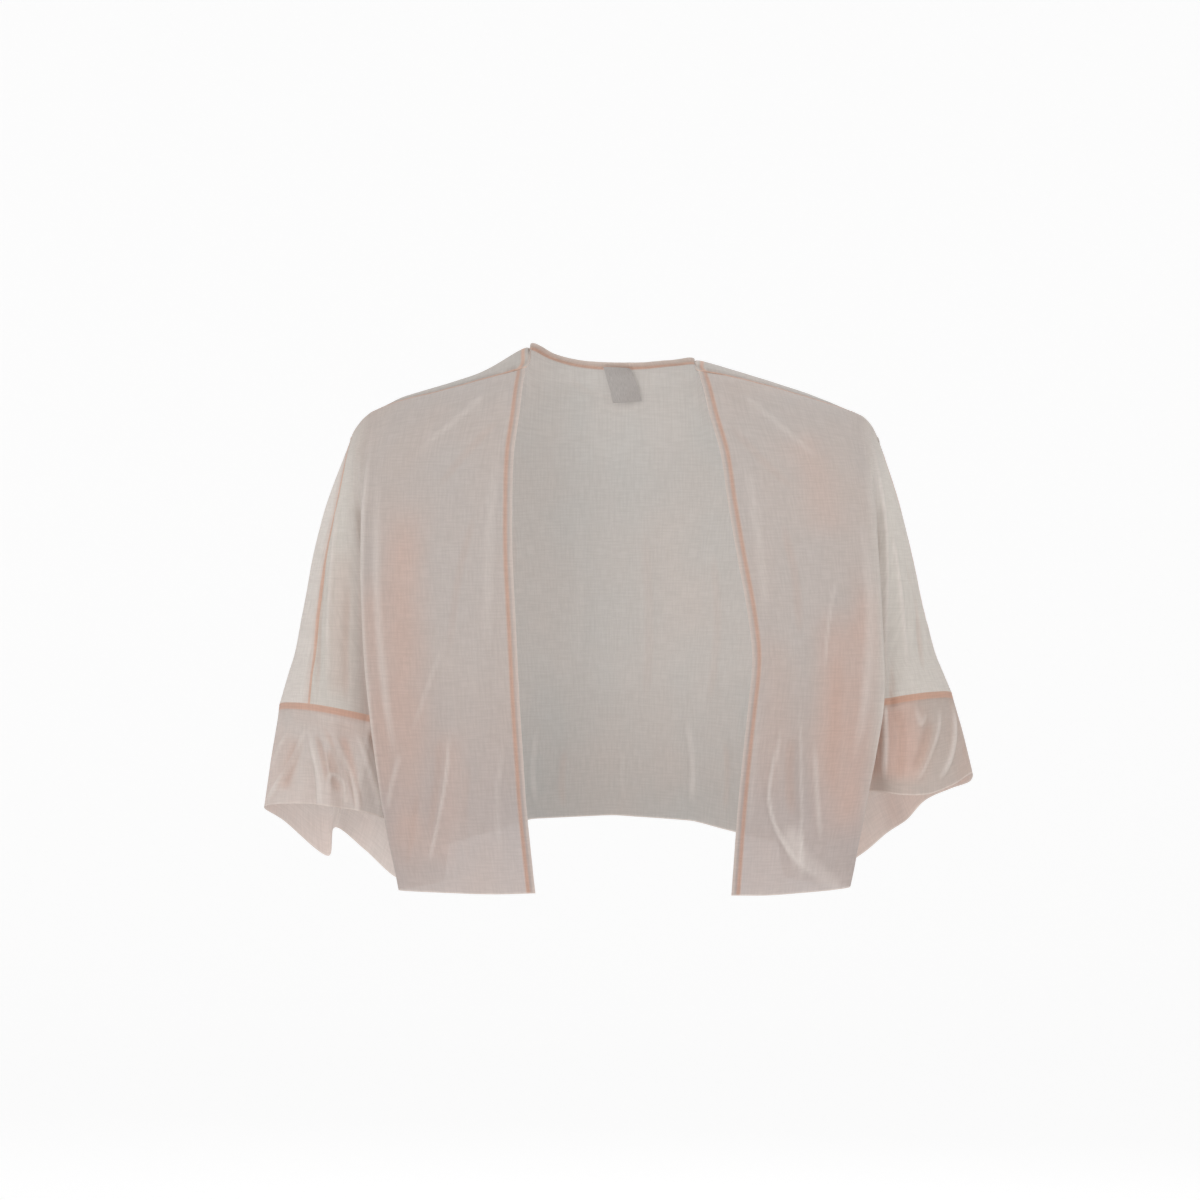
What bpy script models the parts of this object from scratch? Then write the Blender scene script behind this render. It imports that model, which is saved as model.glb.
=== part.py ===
# Sheer bolero jacket, open at the front, in the shape that it has when it is worn.
# Metres, +Z up, the front faces -Y and the wearer's left arm is at +X.
# The origin lies between the two shoulders, at the height of the neck ends of the shoulder seams.
# Front and back are cut in one with the sleeves, so the shoulder seam runs on down the sleeve to the cuff.

import math

import bpy
import numpy as np
from mathutils import Vector
from mathutils.bvhtree import BVHTree

MM = 0.001

# Driving sizes, in millimetres
CLOTH = 1.2  # wall of a panel or a cuff
BAND_CLOTH = 1.0  # wall of a turned edge, of a seam's allowance and of the label
SEAM_GAP = 0.75  # panel edge to panel edge at a seam
MOST_BEND = 140.0  # degrees that the cloth turns through at a seam, where it turns most
TIP_PART = 1.2  # how much further front and back draw apart where the shoulder seam turns down the arm
TIP_ALONG = 5  # points of the shoulder seam that take part in this
TIP_DOWN = 3  # points of the overarm seam that take part in it
MOST_OF_ROOM = 0.6  # share of the way to its neighbour that a point may be drawn back
LAY_GAP = 0.8  # panel to the band that lies inside it
NECK_GAP = 2.6  # the same at the neck, where the cloth is bent most
BAND_EDGE = 0.8  # a band starts this far in from the panel's own edge
BAND_STEP = 8.0  # most that two rows of a band are apart where the cloth is curved
NORMAL_REACH = 3.0  # a band's direction is the mean over the cloth this near to it
EDGE_BAND = 8.0  # width of the turned edge along the neck and the fronts
SEAM_BAND = 9.0  # width of the allowance along a seam
LABEL_WIDTH = 27.0
LABEL_LENGTH = 37.0
LABEL_CORNER = (-8.5, 5.5)  # across and up, of its upper corner on the wearer's right
LABEL_SWING = 10.0  # its lower end lies this far towards the wearer's left
LABEL_STAND = 5.0  # its lower end stands off the back by about this much
LABEL_ACROSS = 4
LABEL_DOWN = 6
UNDERARM = -272.0  # height of the underarm point
UNDERARM_GAP = 2.0  # from the underarm's middle to the front's and to the back's corner there
CUFF_RISE = 15.0  # the cuff seam is this much higher outside, and lower inside, than its middle
CUFF_LEAN = 10.0  # it is this much higher in front, and lower behind
CREST = 36.0  # from the shoulder seam back to the crest of the shoulder
EDGE_ROW_STEP = 12.0  # most that two rows of a front's turned edge are apart
LABEL_TILT = 1.3  # share of that on the wearer's right; on the left it is 1 less

# How finely the cloth is divided between two stations across, and between two levels down
ACROSS = 2
SLEEVE_ACROSS = 3
CUFF_ACROSS = 3
DOWN = 2
CUFF_ROWS = 5

# A row of the front runs through edge, chest, side, outer, ridge, turn and valley on the body, then
# inner, front, lateral and seam on the sleeve. A row of the back starts with spine, nape, neck and peak.
VALLEY = 6
FRONT_STATIONS = 11
SLEEVE_STATIONS = FRONT_STATIONS - 1 - VALLEY
NECK_STATIONS = 4


def table(names, *rows):
    """A short table of sizes: one array for each named column."""
    return dict(zip(names.split(), np.array(rows, float).T))


# Shoulder seam at each station of the front. top_z is the height of the shoulder's crest behind it.
SHOULDER = {
    "right": table(
        "x      y     z     top_z",
        (81.0, -28.0, -3.0, 18.0),
        (122.0, -22.0, -13.0, -3.5),
        (165.0, -14.0, -25.0, -18.5),
        (203.0, -6.0, -34.5, -32.0),
        (226.0, -3.0, -43.5, -42.5),
        (231.0, -3.0, -47.0, -46.5),
        (235.0, -3.0, -50.5, -50.0),
        (238.0, -3.5, -54.0, -53.5),
        (241.0, -5.0, -58.0, -58.0),
        (243.5, -8.0, -63.0, -63.0),
        (245.0, -12.0, -68.0, -68.0),
    ),
    "left": table(
        "x      y     z     top_z",
        (80.5, -28.0, -6.0, 6.0),
        (122.0, -22.0, -13.0, -5.0),
        (165.0, -14.0, -24.0, -19.0),
        (205.0, -6.0, -36.0, -34.5),
        (233.0, -3.0, -46.0, -45.0),
        (238.0, -3.0, -49.5, -49.0),
        (241.0, -3.0, -52.5, -52.0),
        (243.5, -3.5, -56.0, -55.5),
        (246.0, -5.0, -60.0, -60.0),
        (248.0, -8.0, -65.0, -65.0),
        (249.5, -12.0, -70.0, -70.0),
    ),
}

# Back neck edge, from the middle of the back to the corner that stands up beside the neck
NECK = {
    "right": table(
        "x     y     z",
        (0.0, 66.0, 8.0),
        (30.0, 60.0, 9.5),
        (53.0, 43.0, 14.0),
        (76.0, 8.0, 22.0),
    ),
    "left": table(
        "x     y     z",
        (0.0, 66.0, 8.0),
        (30.0, 60.0, 8.0),
        (57.0, 42.0, 9.0),
        (77.0, 8.0, 8.5),
    ),
}

# Level sections of the body above the underarm. valley is the hollow between body and sleeve.
UPPER = {
    "right": table(
        "z    edge_x edge_y chest_y ridge_x ridge_y valley_x front_y back_y rear_x rear_y blade_y spine_y",
        (-85, 90.0, -88, -90, 230, -36, 237, -36, 33, 236, 34, 92, 86),
        (-130, 91.0, -108, -110, 232, -60, 234, -50, 50, 236, 56, 104, 98),
        (-180, 90.5, -119, -123, 231, -76, 218, -47, 50, 228, 74, 110, 104),
        (-230, 88.0, -123, -129, 229, -89, 194, -30, 32, 221, 83, 109, 104),
        (UNDERARM, 86.0, -122, -131, 227, -95, 169, -UNDERARM_GAP, UNDERARM_GAP, 214, 86, 107, 102),
    ),
    "left": table(
        "z    edge_x edge_y chest_y ridge_x ridge_y valley_x front_y back_y rear_x rear_y blade_y spine_y",
        (-85, 99.0, -88, -90, 236, -36, 242, -36, 33, 240, 34, 92, 86),
        (-130, 105.0, -108, -110, 243, -60, 243, -50, 50, 241, 56, 104, 98),
        (-180, 113.0, -119, -123, 246, -76, 230, -47, 50, 232, 74, 110, 104),
        (-230, 122.0, -123, -129, 248, -89, 203, -30, 32, 224, 83, 109, 104),
        (UNDERARM, 126.5, -122, -131, 249, -95, 172, -UNDERARM_GAP, UNDERARM_GAP, 217, 86, 107, 102),
    ),
}

# Level sections of the body below the underarm. fall is the share of the way down to the hem.
LOWER = {
    "right": table(
        "fall edge_x edge_y chest_y ridge_x ridge_y side_x side_y rear_x rear_y blade_y spine_y",
        (0.20, 84.0, -121, -131, 223, -99, 157, 1, 207, 86, 104, 101),
        (0.42, 81.0, -119, -130, 217, -101, 151, 2, 201, 84, 103, 100),
        (0.65, 77.5, -116, -128, 210, -102, 150, 4, 196, 82, 102, 99),
        (1.00, 70.0, -112, -124, 196, -101, 158, 4, 190, 80, 100, 98),
    ),
    "left": table(
        "fall edge_x edge_y chest_y ridge_x ridge_y side_x side_y rear_x rear_y blade_y spine_y",
        (0.20, 123.0, -121, -131, 248, -99, 160, 1, 211, 86, 104, 101),
        (0.42, 118.0, -119, -130, 241, -101, 154, 2, 205, 84, 103, 100),
        (0.65, 113.5, -116, -128, 232, -102, 153, 4, 200, 82, 102, 99),
        (1.00, 108.0, -112, -124, 218, -101, 161, 4, 194, 80, 100, 98),
    ),
}

# Height of the hem under each part of the body
HEM = {
    "right": dict(edge=-487, chest=-487, ridge=-485, side=-482, rear=-466, blade=-432, spine=-428),
    "left": dict(edge=-489, chest=-488, ridge=-482, side=-479, rear=-464, blade=-434, spine=-428),
}

# The stations that those heights belong to
HEM_MARKS = {
    "front": dict(edge=0, chest=1, ridge=4, side=6),
    "back": dict(spine=0, blade=4, rear=8, side=10),
}

# Rings of the sleeve. angle is where the overarm seam lies, from the outermost line towards the front.
SLEEVE = {
    "right": table(
        "z     outer_x half front back centre_y angle",
        (-85, 252.0, 25, 40, 40, -2, 33),
        (-130, 268.5, 43, 48, 50, -4, 46),
        (-180, 281.0, 54, 55, 55, -6, 45),
        (-230, 290.0, 60, 58, 57, -9, 46),
        (UNDERARM, 299.0, 65, 60, 58, -12, 51),
        (-300, 305.0, 68, 61, 60, -15, 54),
        (-332, 312.0, 73, 62, 62, -18, 57),
    ),
    "left": table(
        "z     outer_x half front back centre_y angle",
        (-85, 256.0, 26, 40, 40, -2, 20),
        (-130, 270.5, 44, 48, 50, -4, 16),
        (-180, 283.0, 54, 55, 55, -6, 12),
        (-230, 293.0, 60, 58, 57, -9, 10),
        (UNDERARM, 304.0, 66, 60, 58, -12, 8),
        (-292, 309.0, 68, 61, 60, -15, 8),
        (-322, 318.0, 75, 62, 62, -18, 8),
    ),
}
PINCH = 1.6  # how much a ring narrows towards the body

# Stations of the front between its free edge (0) and its ridge (1). turn is the share of a quarter circle.
FRONT_PLAN = table(
    "across turn",
    (0.30, 0.00),
    (0.60, 0.40),
    (0.87, 0.76),
)
# Stations of the back between its middle (0) and its rear fold (1), flat beside the spine and then round.
# rise is the share of the way from the spine out to the shoulder blade.
SPINE_PLAN = table(
    "across rise",
    (0.00, 0.0),
    (0.13, 0.4),
    (0.24, 0.8),
    (0.34, 1.0),
)
BLADE_PLAN = table(
    "across turn",
    (0.41, 0.05),
    (0.56, 0.32),
    (0.72, 0.58),
    (0.88, 0.82),
)
# The station between a ridge and its hollow, as shares of the way
TURN_ACROSS = 0.42
TURN_DEPTH = 0.38
SLEEVE_PLAN = (0.25, 0.50, 0.75, 1.00)

# How far the two levels under the shoulder seam have gone towards the first section, in x, y and z
FIRST_DROP = {"front": (0.20, 0.42, 0.22), "neck": (0.20, 0.30, 0.10)}
SECOND_DROP = {"front": (0.50, 0.76, 0.56), "neck": (0.50, 0.68, 0.40), "crest": (0.50, 0.55, 0.32)}

# The cuff's lower edge: from the underarm along the front to the overarm seam, and back along the rear
CUFF_HEM = {
    "right": table(
        "x    y    z",
        (176, -10, -468),
        (181, -30, -450),
        (192, -46, -436),
        (205, -58, -425),
        (219, -72, -418),
        (236, -82, -413),
        (248, -72, -412),
        (261, -86, -409),
        (273, -72, -408),
        (300, -62, -408),
        (326, -14, -414),
        (311, 30, -429),
        (271, 66, -465),
        (263, 38, -436),
        (236, 54, -458),
        (203, 36, -484),
    ),
    "left": table(
        "x    y    z",
        (178, -10, -462),
        (183, -34, -442),
        (197, -52, -425),
        (217, -72, -404),
        (240, -66, -397),
        (266, -80, -399),
        (290, -72, -399),
        (314, -54, -392),
        (337, -16, -382),
        (337, 8, -391),
        (321, 32, -399),
        (299, 50, -411),
        (282, 44, -428),
        (263, 60, -443),
        (240, 50, -461),
        (206, 34, -478),
    ),
}


def through(points, steps, before=None, after=None):
    """Points on the smooth curve through the given ones, with so many steps in each stretch."""
    p = np.asarray(points, float)
    stretches = len(p) - 1
    steps = [steps] * stretches if isinstance(steps, int) else steps
    before = 2 * p[0] - p[1] if before is None else before
    after = 2 * p[-1] - p[-2] if after is None else after
    p = np.concatenate([[before], p, [after]])
    gap = np.sqrt(np.maximum(np.linalg.norm(np.diff(p, axis=0), axis=1), 1e-6))
    found = []
    for i, count in enumerate(steps, 1):
        a, b, c = gap[i - 1 : i + 2]
        leave = (p[i] - p[i - 1]) / a - (p[i + 1] - p[i - 1]) / (a + b) + (p[i + 1] - p[i]) / b
        arrive = (p[i + 1] - p[i]) / b - (p[i + 2] - p[i]) / (b + c) + (p[i + 2] - p[i + 1]) / c
        t = (np.arange(count) / count)[:, None]
        found.append(
            (2 * t**3 - 3 * t**2 + 1) * p[i]
            + (t**3 - 2 * t**2 + t) * b * leave
            + (3 * t**2 - 2 * t**3) * p[i + 1]
            + (t**3 - t**2) * b * arrive
        )
    return np.concatenate(found + [p[-2:-1]])


def rows_of(columns):
    return [dict(zip(columns, row)) for row in zip(*columns.values())]


def bow(share):
    """Falls from 1 to 0 along a quarter of a circle."""
    return math.cos(math.radians(90 * share))


def turn_in(ridge_x, ridge_y, hollow_x, hollow_y):
    """The station between a ridge and its hollow, and the hollow itself."""
    turn = (hollow_x + TURN_ACROSS * (ridge_x - hollow_x), ridge_y + TURN_DEPTH * (hollow_y - ridge_y))
    return [turn, (hollow_x, hollow_y)]


def front_section(row, hollow_x, hollow_y):
    """The body's front from its free edge to the drape fold's ridge, and back in to the hollow."""
    edge_x, ridge_x, ridge_y = row["edge_x"], row["ridge_x"], row["ridge_y"]
    width, depth = ridge_x - edge_x, row["chest_y"] - ridge_y
    flat = [(edge_x, row["edge_y"])]
    for plan in rows_of(FRONT_PLAN):
        flat.append((edge_x + plan["across"] * width, ridge_y + depth * bow(plan["turn"])))
    return flat + [(ridge_x, ridge_y)] + turn_in(ridge_x, ridge_y, hollow_x, hollow_y)


def back_section(row, hollow_x, hollow_y):
    """The body's back from the middle to the rear fold, and in to the hollow."""
    rear_x, rear_y, blade_y, spine_y = row["rear_x"], row["rear_y"], row["blade_y"], row["spine_y"]
    flat = []
    for plan in rows_of(SPINE_PLAN):
        flat.append((plan["across"] * rear_x, spine_y + plan["rise"] * (blade_y - spine_y)))
    for plan in rows_of(BLADE_PLAN):
        flat.append((plan["across"] * rear_x, rear_y + (blade_y - rear_y) * bow(plan["turn"])))
    return flat + [(rear_x, rear_y)] + turn_in(rear_x, rear_y, hollow_x, hollow_y)


def sleeve_section(ring, hollow_x, face):
    """The sleeve from the hollow (left out) to the overarm seam, on its front (1) or its back (-1)."""
    middle = ring["outer_x"] - ring["half"]
    reach = max(-1.0, min(1.0, (hollow_x - middle) / ring["half"]))
    start = face * math.acos(reach)
    end = math.radians(ring["angle"])
    found = []
    for share in SLEEVE_PLAN:
        angle = start + share * (end - start)
        depth = ring["front"] if angle > 0 else ring["back"]
        swell = abs(math.sin(angle)) ** (1 if math.cos(angle) > 0 else PINCH)
        x = middle + ring["half"] * math.cos(angle)
        found.append((x, ring["centre_y"] - math.copysign(depth * swell, angle)))
    return found


def upper_net(side, face):
    """Levels from the shoulder seam down to the underarm, of one side's front (1) or back (-1)."""
    levels = []
    for row, ring in zip(rows_of(UPPER[side]), rows_of(SLEEVE[side])):
        if face > 0:
            flat = front_section(row, row["valley_x"], row["front_y"])
        else:
            flat = back_section(row, row["valley_x"], row["back_y"])
        flat += sleeve_section(ring, row["valley_x"], face)
        levels.append([(x, y, row["z"]) for x, y in flat])
    levels = np.array(levels)
    shoulder = SHOULDER[side]
    seam = np.stack([shoulder[name] for name in "xyz"], axis=1)
    below = levels[0, -FRONT_STATIONS:]
    # From the shoulder seam the cloth bows out before it falls, but along the arm it falls straight
    on_sleeve = np.clip((np.arange(FRONT_STATIONS) - VALLEY) / SLEEVE_STATIONS, 0, 1)[:, None]
    first = seam + (below - seam) * ((1 - on_sleeve) * FIRST_DROP["front"] + on_sleeve / 3)
    second = seam + (below - seam) * ((1 - on_sleeve) * SECOND_DROP["front"] + on_sleeve * 2 / 3)
    if face > 0:
        return np.concatenate([[seam, first, second], levels])
    on_crest = slice(0, VALLEY - 2)
    crest = np.stack([shoulder["x"], shoulder["y"] + CREST, shoulder["top_z"]], axis=1)[on_crest]
    first[on_crest] = crest
    second[on_crest] = crest + (below[on_crest] - crest) * SECOND_DROP["crest"]
    neck = np.stack([NECK[side][name] for name in "xyz"], axis=1)
    blade = levels[0, :NECK_STATIONS]
    necks = [neck, neck + (blade - neck) * FIRST_DROP["neck"], neck + (blade - neck) * SECOND_DROP["neck"]]
    caps = [np.concatenate([n, s]) for n, s in zip(necks, (seam, first, second))]
    return np.concatenate([caps, levels])


def body_net(side, face):
    """Levels of the body below the underarm, down to the hem."""
    section, marks = (front_section, HEM_MARKS["front"]) if face > 0 else (back_section, HEM_MARKS["back"])
    heights = [HEM[side][name] for name in marks]
    levels = []
    for row in rows_of(LOWER[side]):
        flat = section(row, row["side_x"], row["side_y"])
        ends = np.interp(range(len(flat)), list(marks.values()), heights)
        level = []
        for (x, y), end in zip(flat, ends):
            level.append((x, y, UNDERARM + row["fall"] * (end - UNDERARM)))
        levels.append(level)
    return np.array(levels)


def sleeve_net(side, face):
    """Levels of the sleeve below the underarm, down to the cuff seam."""
    rings = rows_of(SLEEVE[side])[len(UPPER[side]["z"]) :]
    levels = []
    for i, ring in enumerate(rings, 1):
        middle = ring["outer_x"] - ring["half"]
        inner_x = middle - ring["half"]
        flat = [(inner_x, ring["centre_y"])] + sleeve_section(ring, inner_x, face)
        level = []
        for x, y in flat:
            outward = (x - middle) / ring["half"]
            rearward = (y - ring["centre_y"]) / ring["back"]
            rise = CUFF_RISE * outward - CUFF_LEAN * rearward
            level.append((x, y, ring["z"] + rise * i / len(rings)))
        levels.append(level)
    return np.array(levels)


def half_jacket(side):
    """Fine grids of one side's front (1) and back (-1): above the underarm, the body and the sleeve."""
    upper = {face: upper_net(side, face) for face in (1, -1)}
    body = {face: body_net(side, face) for face in (1, -1)}
    arm = {face: sleeve_net(side, face) for face in (1, -1)}

    def column(station, lower):
        """One line down the front and one down the back, smooth over the shoulder seam."""
        front = np.concatenate([upper[1][:, station], lower[1]])
        back = np.concatenate([upper[-1][:, station + NECK_STATIONS], lower[-1]])
        line = through(np.concatenate([front[::-1], back[1:]]), DOWN)
        seam = (len(front) - 1) * DOWN
        return line[seam::-1], line[seam:]

    depth = (len(upper[1]) - 1) * DOWN
    columns = []
    for station in range(FRONT_STATIONS):
        if station <= VALLEY:
            lower = {1: body[1][:, station], -1: body[-1][:, station + NECK_STATIONS]}
        else:
            lower = {face: arm[face][:, station - VALLEY] for face in (1, -1)}
        columns.append(column(station, lower))
    underarm = column(VALLEY, {face: arm[face][:, 0] for face in (1, -1)})
    neck = [through(np.concatenate([upper[-1][:, k], body[-1][:, k]]), DOWN) for k in range(NECK_STATIONS)]

    front_rows = np.stack([c[0][: depth + 1] for c in columns], axis=1)
    back_rows = np.stack([n[: depth + 1] for n in neck] + [c[1][: depth + 1] for c in columns], axis=1)
    front_steps = [ACROSS] * VALLEY + [SLEEVE_ACROSS] * SLEEVE_STATIONS
    back_steps = [ACROSS] * (VALLEY + NECK_STATIONS) + [SLEEVE_ACROSS] * SLEEVE_STATIONS
    split = sum(front_steps)
    flip = np.array([-1, 1, 1])
    top = {1: [], -1: []}
    for level, (front, back) in enumerate(zip(front_rows, back_rows)):
        if level == 0:
            seam = through(front, front_steps)
            edge = through(back, back_steps, before=back[1] * flip)
            top[1].append(seam)
            top[-1].append(np.concatenate([edge[: NECK_STATIONS * ACROSS], seam]))
            continue
        line = through(
            np.concatenate([front, back[-2::-1]]), front_steps + back_steps[::-1], after=back[1] * flip
        )
        top[1].append(line[: split + 1])
        top[-1].append(line[split:][::-1])

    low = {1: [], -1: []}
    edge_to_side = slice(0, VALLEY + 1)
    for level in range(1, len(body[1]) * DOWN + 1):
        front = np.array([c[0][depth + level] for c in columns[edge_to_side]])
        back = [n[depth + level] for n in neck] + [c[1][depth + level] for c in columns[edge_to_side]]
        line = through(np.concatenate([front, back[-2::-1]]), ACROSS, after=back[1] * flip)
        low[1].append(line[: VALLEY * ACROSS + 1])
        low[-1].append(line[VALLEY * ACROSS :][::-1])

    sleeve = {1: [], -1: []}
    rings = []
    for level in range(1, len(arm[1]) * DOWN + 1):
        front, back = [
            np.array([c[i][depth + level] for c in [underarm] + columns[VALLEY + 1 :]]) for i in (0, 1)
        ]
        ring = np.concatenate([front, back[-2::-1]])
        line = through(ring, SLEEVE_ACROSS, before=back[1], after=front[1])
        sleeve[1].append(line[: SLEEVE_STATIONS * SLEEVE_ACROSS + 1])
        sleeve[-1].append(line[SLEEVE_STATIONS * SLEEVE_ACROSS :][::-1])
        rings.append(ring)

    grids = {}
    for face in (1, -1):
        above = np.array(top[face])
        valley = above.shape[1] - 1 - SLEEVE_STATIONS * SLEEVE_ACROSS
        grids[face] = dict(
            top=above,
            low=np.array([above[-1, : valley + 1]] + low[face]),
            arm=np.array([above[-1, valley:]] + sleeve[face]),
        )
    return grids, rings[-1]


def toward(line, neighbour, distance):
    """A line of points moved this far towards the neighbouring line."""
    way = neighbour - line
    return line + way * (distance / np.linalg.norm(way, axis=-1, keepdims=True))


def seam_inset(line, own, other):
    """Draws a line of points back from a seam, further where the cloth bends, to keep the walls apart."""
    ahead, behind = line - other, own - line
    room = np.linalg.norm(behind, axis=-1)
    ahead /= np.linalg.norm(ahead, axis=-1, keepdims=True)
    behind /= room[..., None]
    bend = np.arccos(np.clip((ahead * behind).sum(axis=-1), -1, 1))
    bend = np.minimum(bend, math.radians(MOST_BEND))
    distance = SEAM_GAP / 2 + CLOTH * np.tan(bend / 2)
    return np.minimum(distance, MOST_OF_ROOM * room)[..., None] * behind


def inset(grids, others, face):
    """Moves the seam edges of a front (1) or a back (-1) in, so that it stops short of its neighbours."""
    top, low, arm = (grids[name] for name in ("top", "low", "arm"))
    moved = {name: grid.copy() for name, grid in grids.items()}
    own_neck = top.shape[1] - 1 - VALLEY * ACROSS - SLEEVE_STATIONS * SLEEVE_ACROSS
    other_neck = others["top"].shape[1] - 1 - VALLEY * ACROSS - SLEEVE_STATIONS * SLEEVE_ACROSS
    beyond = others["top"][1, other_neck:]
    moved["top"][0, own_neck:] += seam_inset(top[0, own_neck:], top[1, own_neck:], beyond)
    moved["top"][1:, -1] += seam_inset(top[1:, -1], top[1:, -2], others["top"][1:, -2])
    moved["top"][0, -1] = top[0, -1] + moved["top"][1, -1] - top[1, -1]
    moved["low"][1:, -1] += seam_inset(low[1:, -1], low[1:, -2], others["low"][1:, -2])
    moved["arm"][1:, 0] += seam_inset(arm[1:, 0], arm[1:, 1], others["arm"][1:, 1])
    moved["arm"][1:, -1] += seam_inset(arm[1:, -1], arm[1:, -2], others["arm"][1:, -2])
    moved["top"][:TIP_DOWN, -1, 1] -= face * TIP_PART
    moved["top"][0, -1 - TIP_ALONG : -1, 1] -= face * TIP_PART
    moved["arm"][0, -1] = moved["top"][-1, -1]
    moved["arm"][-1] = toward(moved["arm"][-1], moved["arm"][-2], SEAM_GAP / 2)
    return moved


class Cloth:
    """A cut piece of cloth: grids of points in which points at one place are one point."""

    def __init__(self):
        self.points = []
        self.faces = []
        self.index = {}

    def number(self, point):
        key = tuple(np.round(point, 3))
        if key not in self.index:
            self.index[key] = len(self.points)
            self.points.append(Vector(point))
        return self.index[key]

    def add(self, grid, turned):
        ids = [[self.number(p) for p in row] for row in grid]
        for a, b in zip(ids, ids[1:]):
            for i in range(len(a) - 1):
                square = [a[i], b[i], b[i + 1], a[i + 1]]
                if turned:
                    square.reverse()
                self.faces += self.halves(*square)

    def halves(self, a, b, c, d):
        """A bent square as two triangles, so that both sides of the wall bend along the same line."""
        if (self.points[a] - self.points[c]).length < (self.points[b] - self.points[d]).length:
            return [(a, b, c), (a, c, d)]
        return [(a, b, d), (b, c, d)]

    def tree(self):
        return BVHTree.FromPolygons(self.points, self.faces)


def make(name, cloth, wall, colour):
    """One named object: the sheet of cloth, given its wall on the inner side."""
    mesh = bpy.data.meshes.new(name)
    mesh.from_pydata([p * MM for p in cloth.points], [], cloth.faces)
    material = bpy.data.materials.new(name)
    material.use_nodes = True
    shader = material.node_tree.nodes["Principled BSDF"]
    shader.inputs["Base Color"].default_value = (*colour, 1)
    shader.inputs["Roughness"].default_value = 0.7
    mesh.materials.append(material)
    obj = bpy.data.objects.new(name, mesh)
    jacket.objects.link(obj)
    solid = obj.modifiers.new("wall", "SOLIDIFY")
    solid.thickness = wall * MM
    solid.offset = -1
    return obj


def evenly(line, start, end, spacing):
    """Evenly spaced points along a line, from so far after its start to so far before its end."""
    line = np.asarray(line, float)
    along = np.concatenate([[0], np.cumsum(np.linalg.norm(np.diff(line, axis=0), axis=1))])
    count = int((along[-1] - start - end) / spacing) + 1
    cuts = np.linspace(start, along[-1] - end, count + 1)
    return np.stack([np.interp(cuts, along, line[:, k]) for k in range(3)], axis=1)


def inside(tree, point, depth):
    """The point of the cloth's outer side that is nearest to the given one, moved in by a depth."""
    place = tree.find_nearest(Vector(point))[0]
    normal = sum((found[1] for found in tree.find_nearest_range(place, NORMAL_REACH)), Vector())
    return np.array(place - normal.normalized() * depth)


def closed_line(stations):
    """The smooth closed line through a ring of the cuff's stations."""
    return through([*stations, stations[0]], CUFF_ACROSS, before=stations[-1], after=stations[1])


def across_border(tree, border):
    """For each point of a border, the direction that leads from it onto the cloth."""
    tangent = np.gradient(border, axis=0)
    ways = []
    for p, t in zip(border, tangent):
        way = tree.find_nearest(Vector(p))[1].cross(Vector(t)).normalized()
        off_cloth = [tree.find_nearest(Vector(p) + way * sign * EDGE_BAND)[3] for sign in (1, -1)]
        ways.append(np.array(way if off_cloth[0] < off_cloth[1] else -way))
    return np.array(ways)


def band(cloth, border, width, across, ways=None, gap=LAY_GAP):
    """A strip that lies inside the cloth along a border, with so many faces across."""
    tree = cloth.tree()
    ways = across_border(tree, border) if ways is None else ways
    steps = BAND_EDGE + np.linspace(0, width, across + 1)
    rows = [[inside(tree, p + way * step, CLOTH + gap) for step in steps] for p, way in zip(border, ways)]
    facing = Vector(rows[1][0] - rows[0][0]).cross(Vector(rows[0][1] - rows[0][0]))
    outward = tree.find_nearest(Vector(border[0]))[1]
    strip = Cloth()
    strip.add(rows, turned=facing.dot(outward) < 0)
    return strip


for old in list(bpy.data.objects):
    bpy.data.objects.remove(old)
jacket = bpy.data.collections.new("bolero_jacket")
bpy.context.scene.collection.children.link(jacket)

BLUSH = (0.56, 0.45, 0.41)
PEACH = (0.46, 0.34, 0.29)
SATIN = (0.50, 0.48, 0.46)

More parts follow.
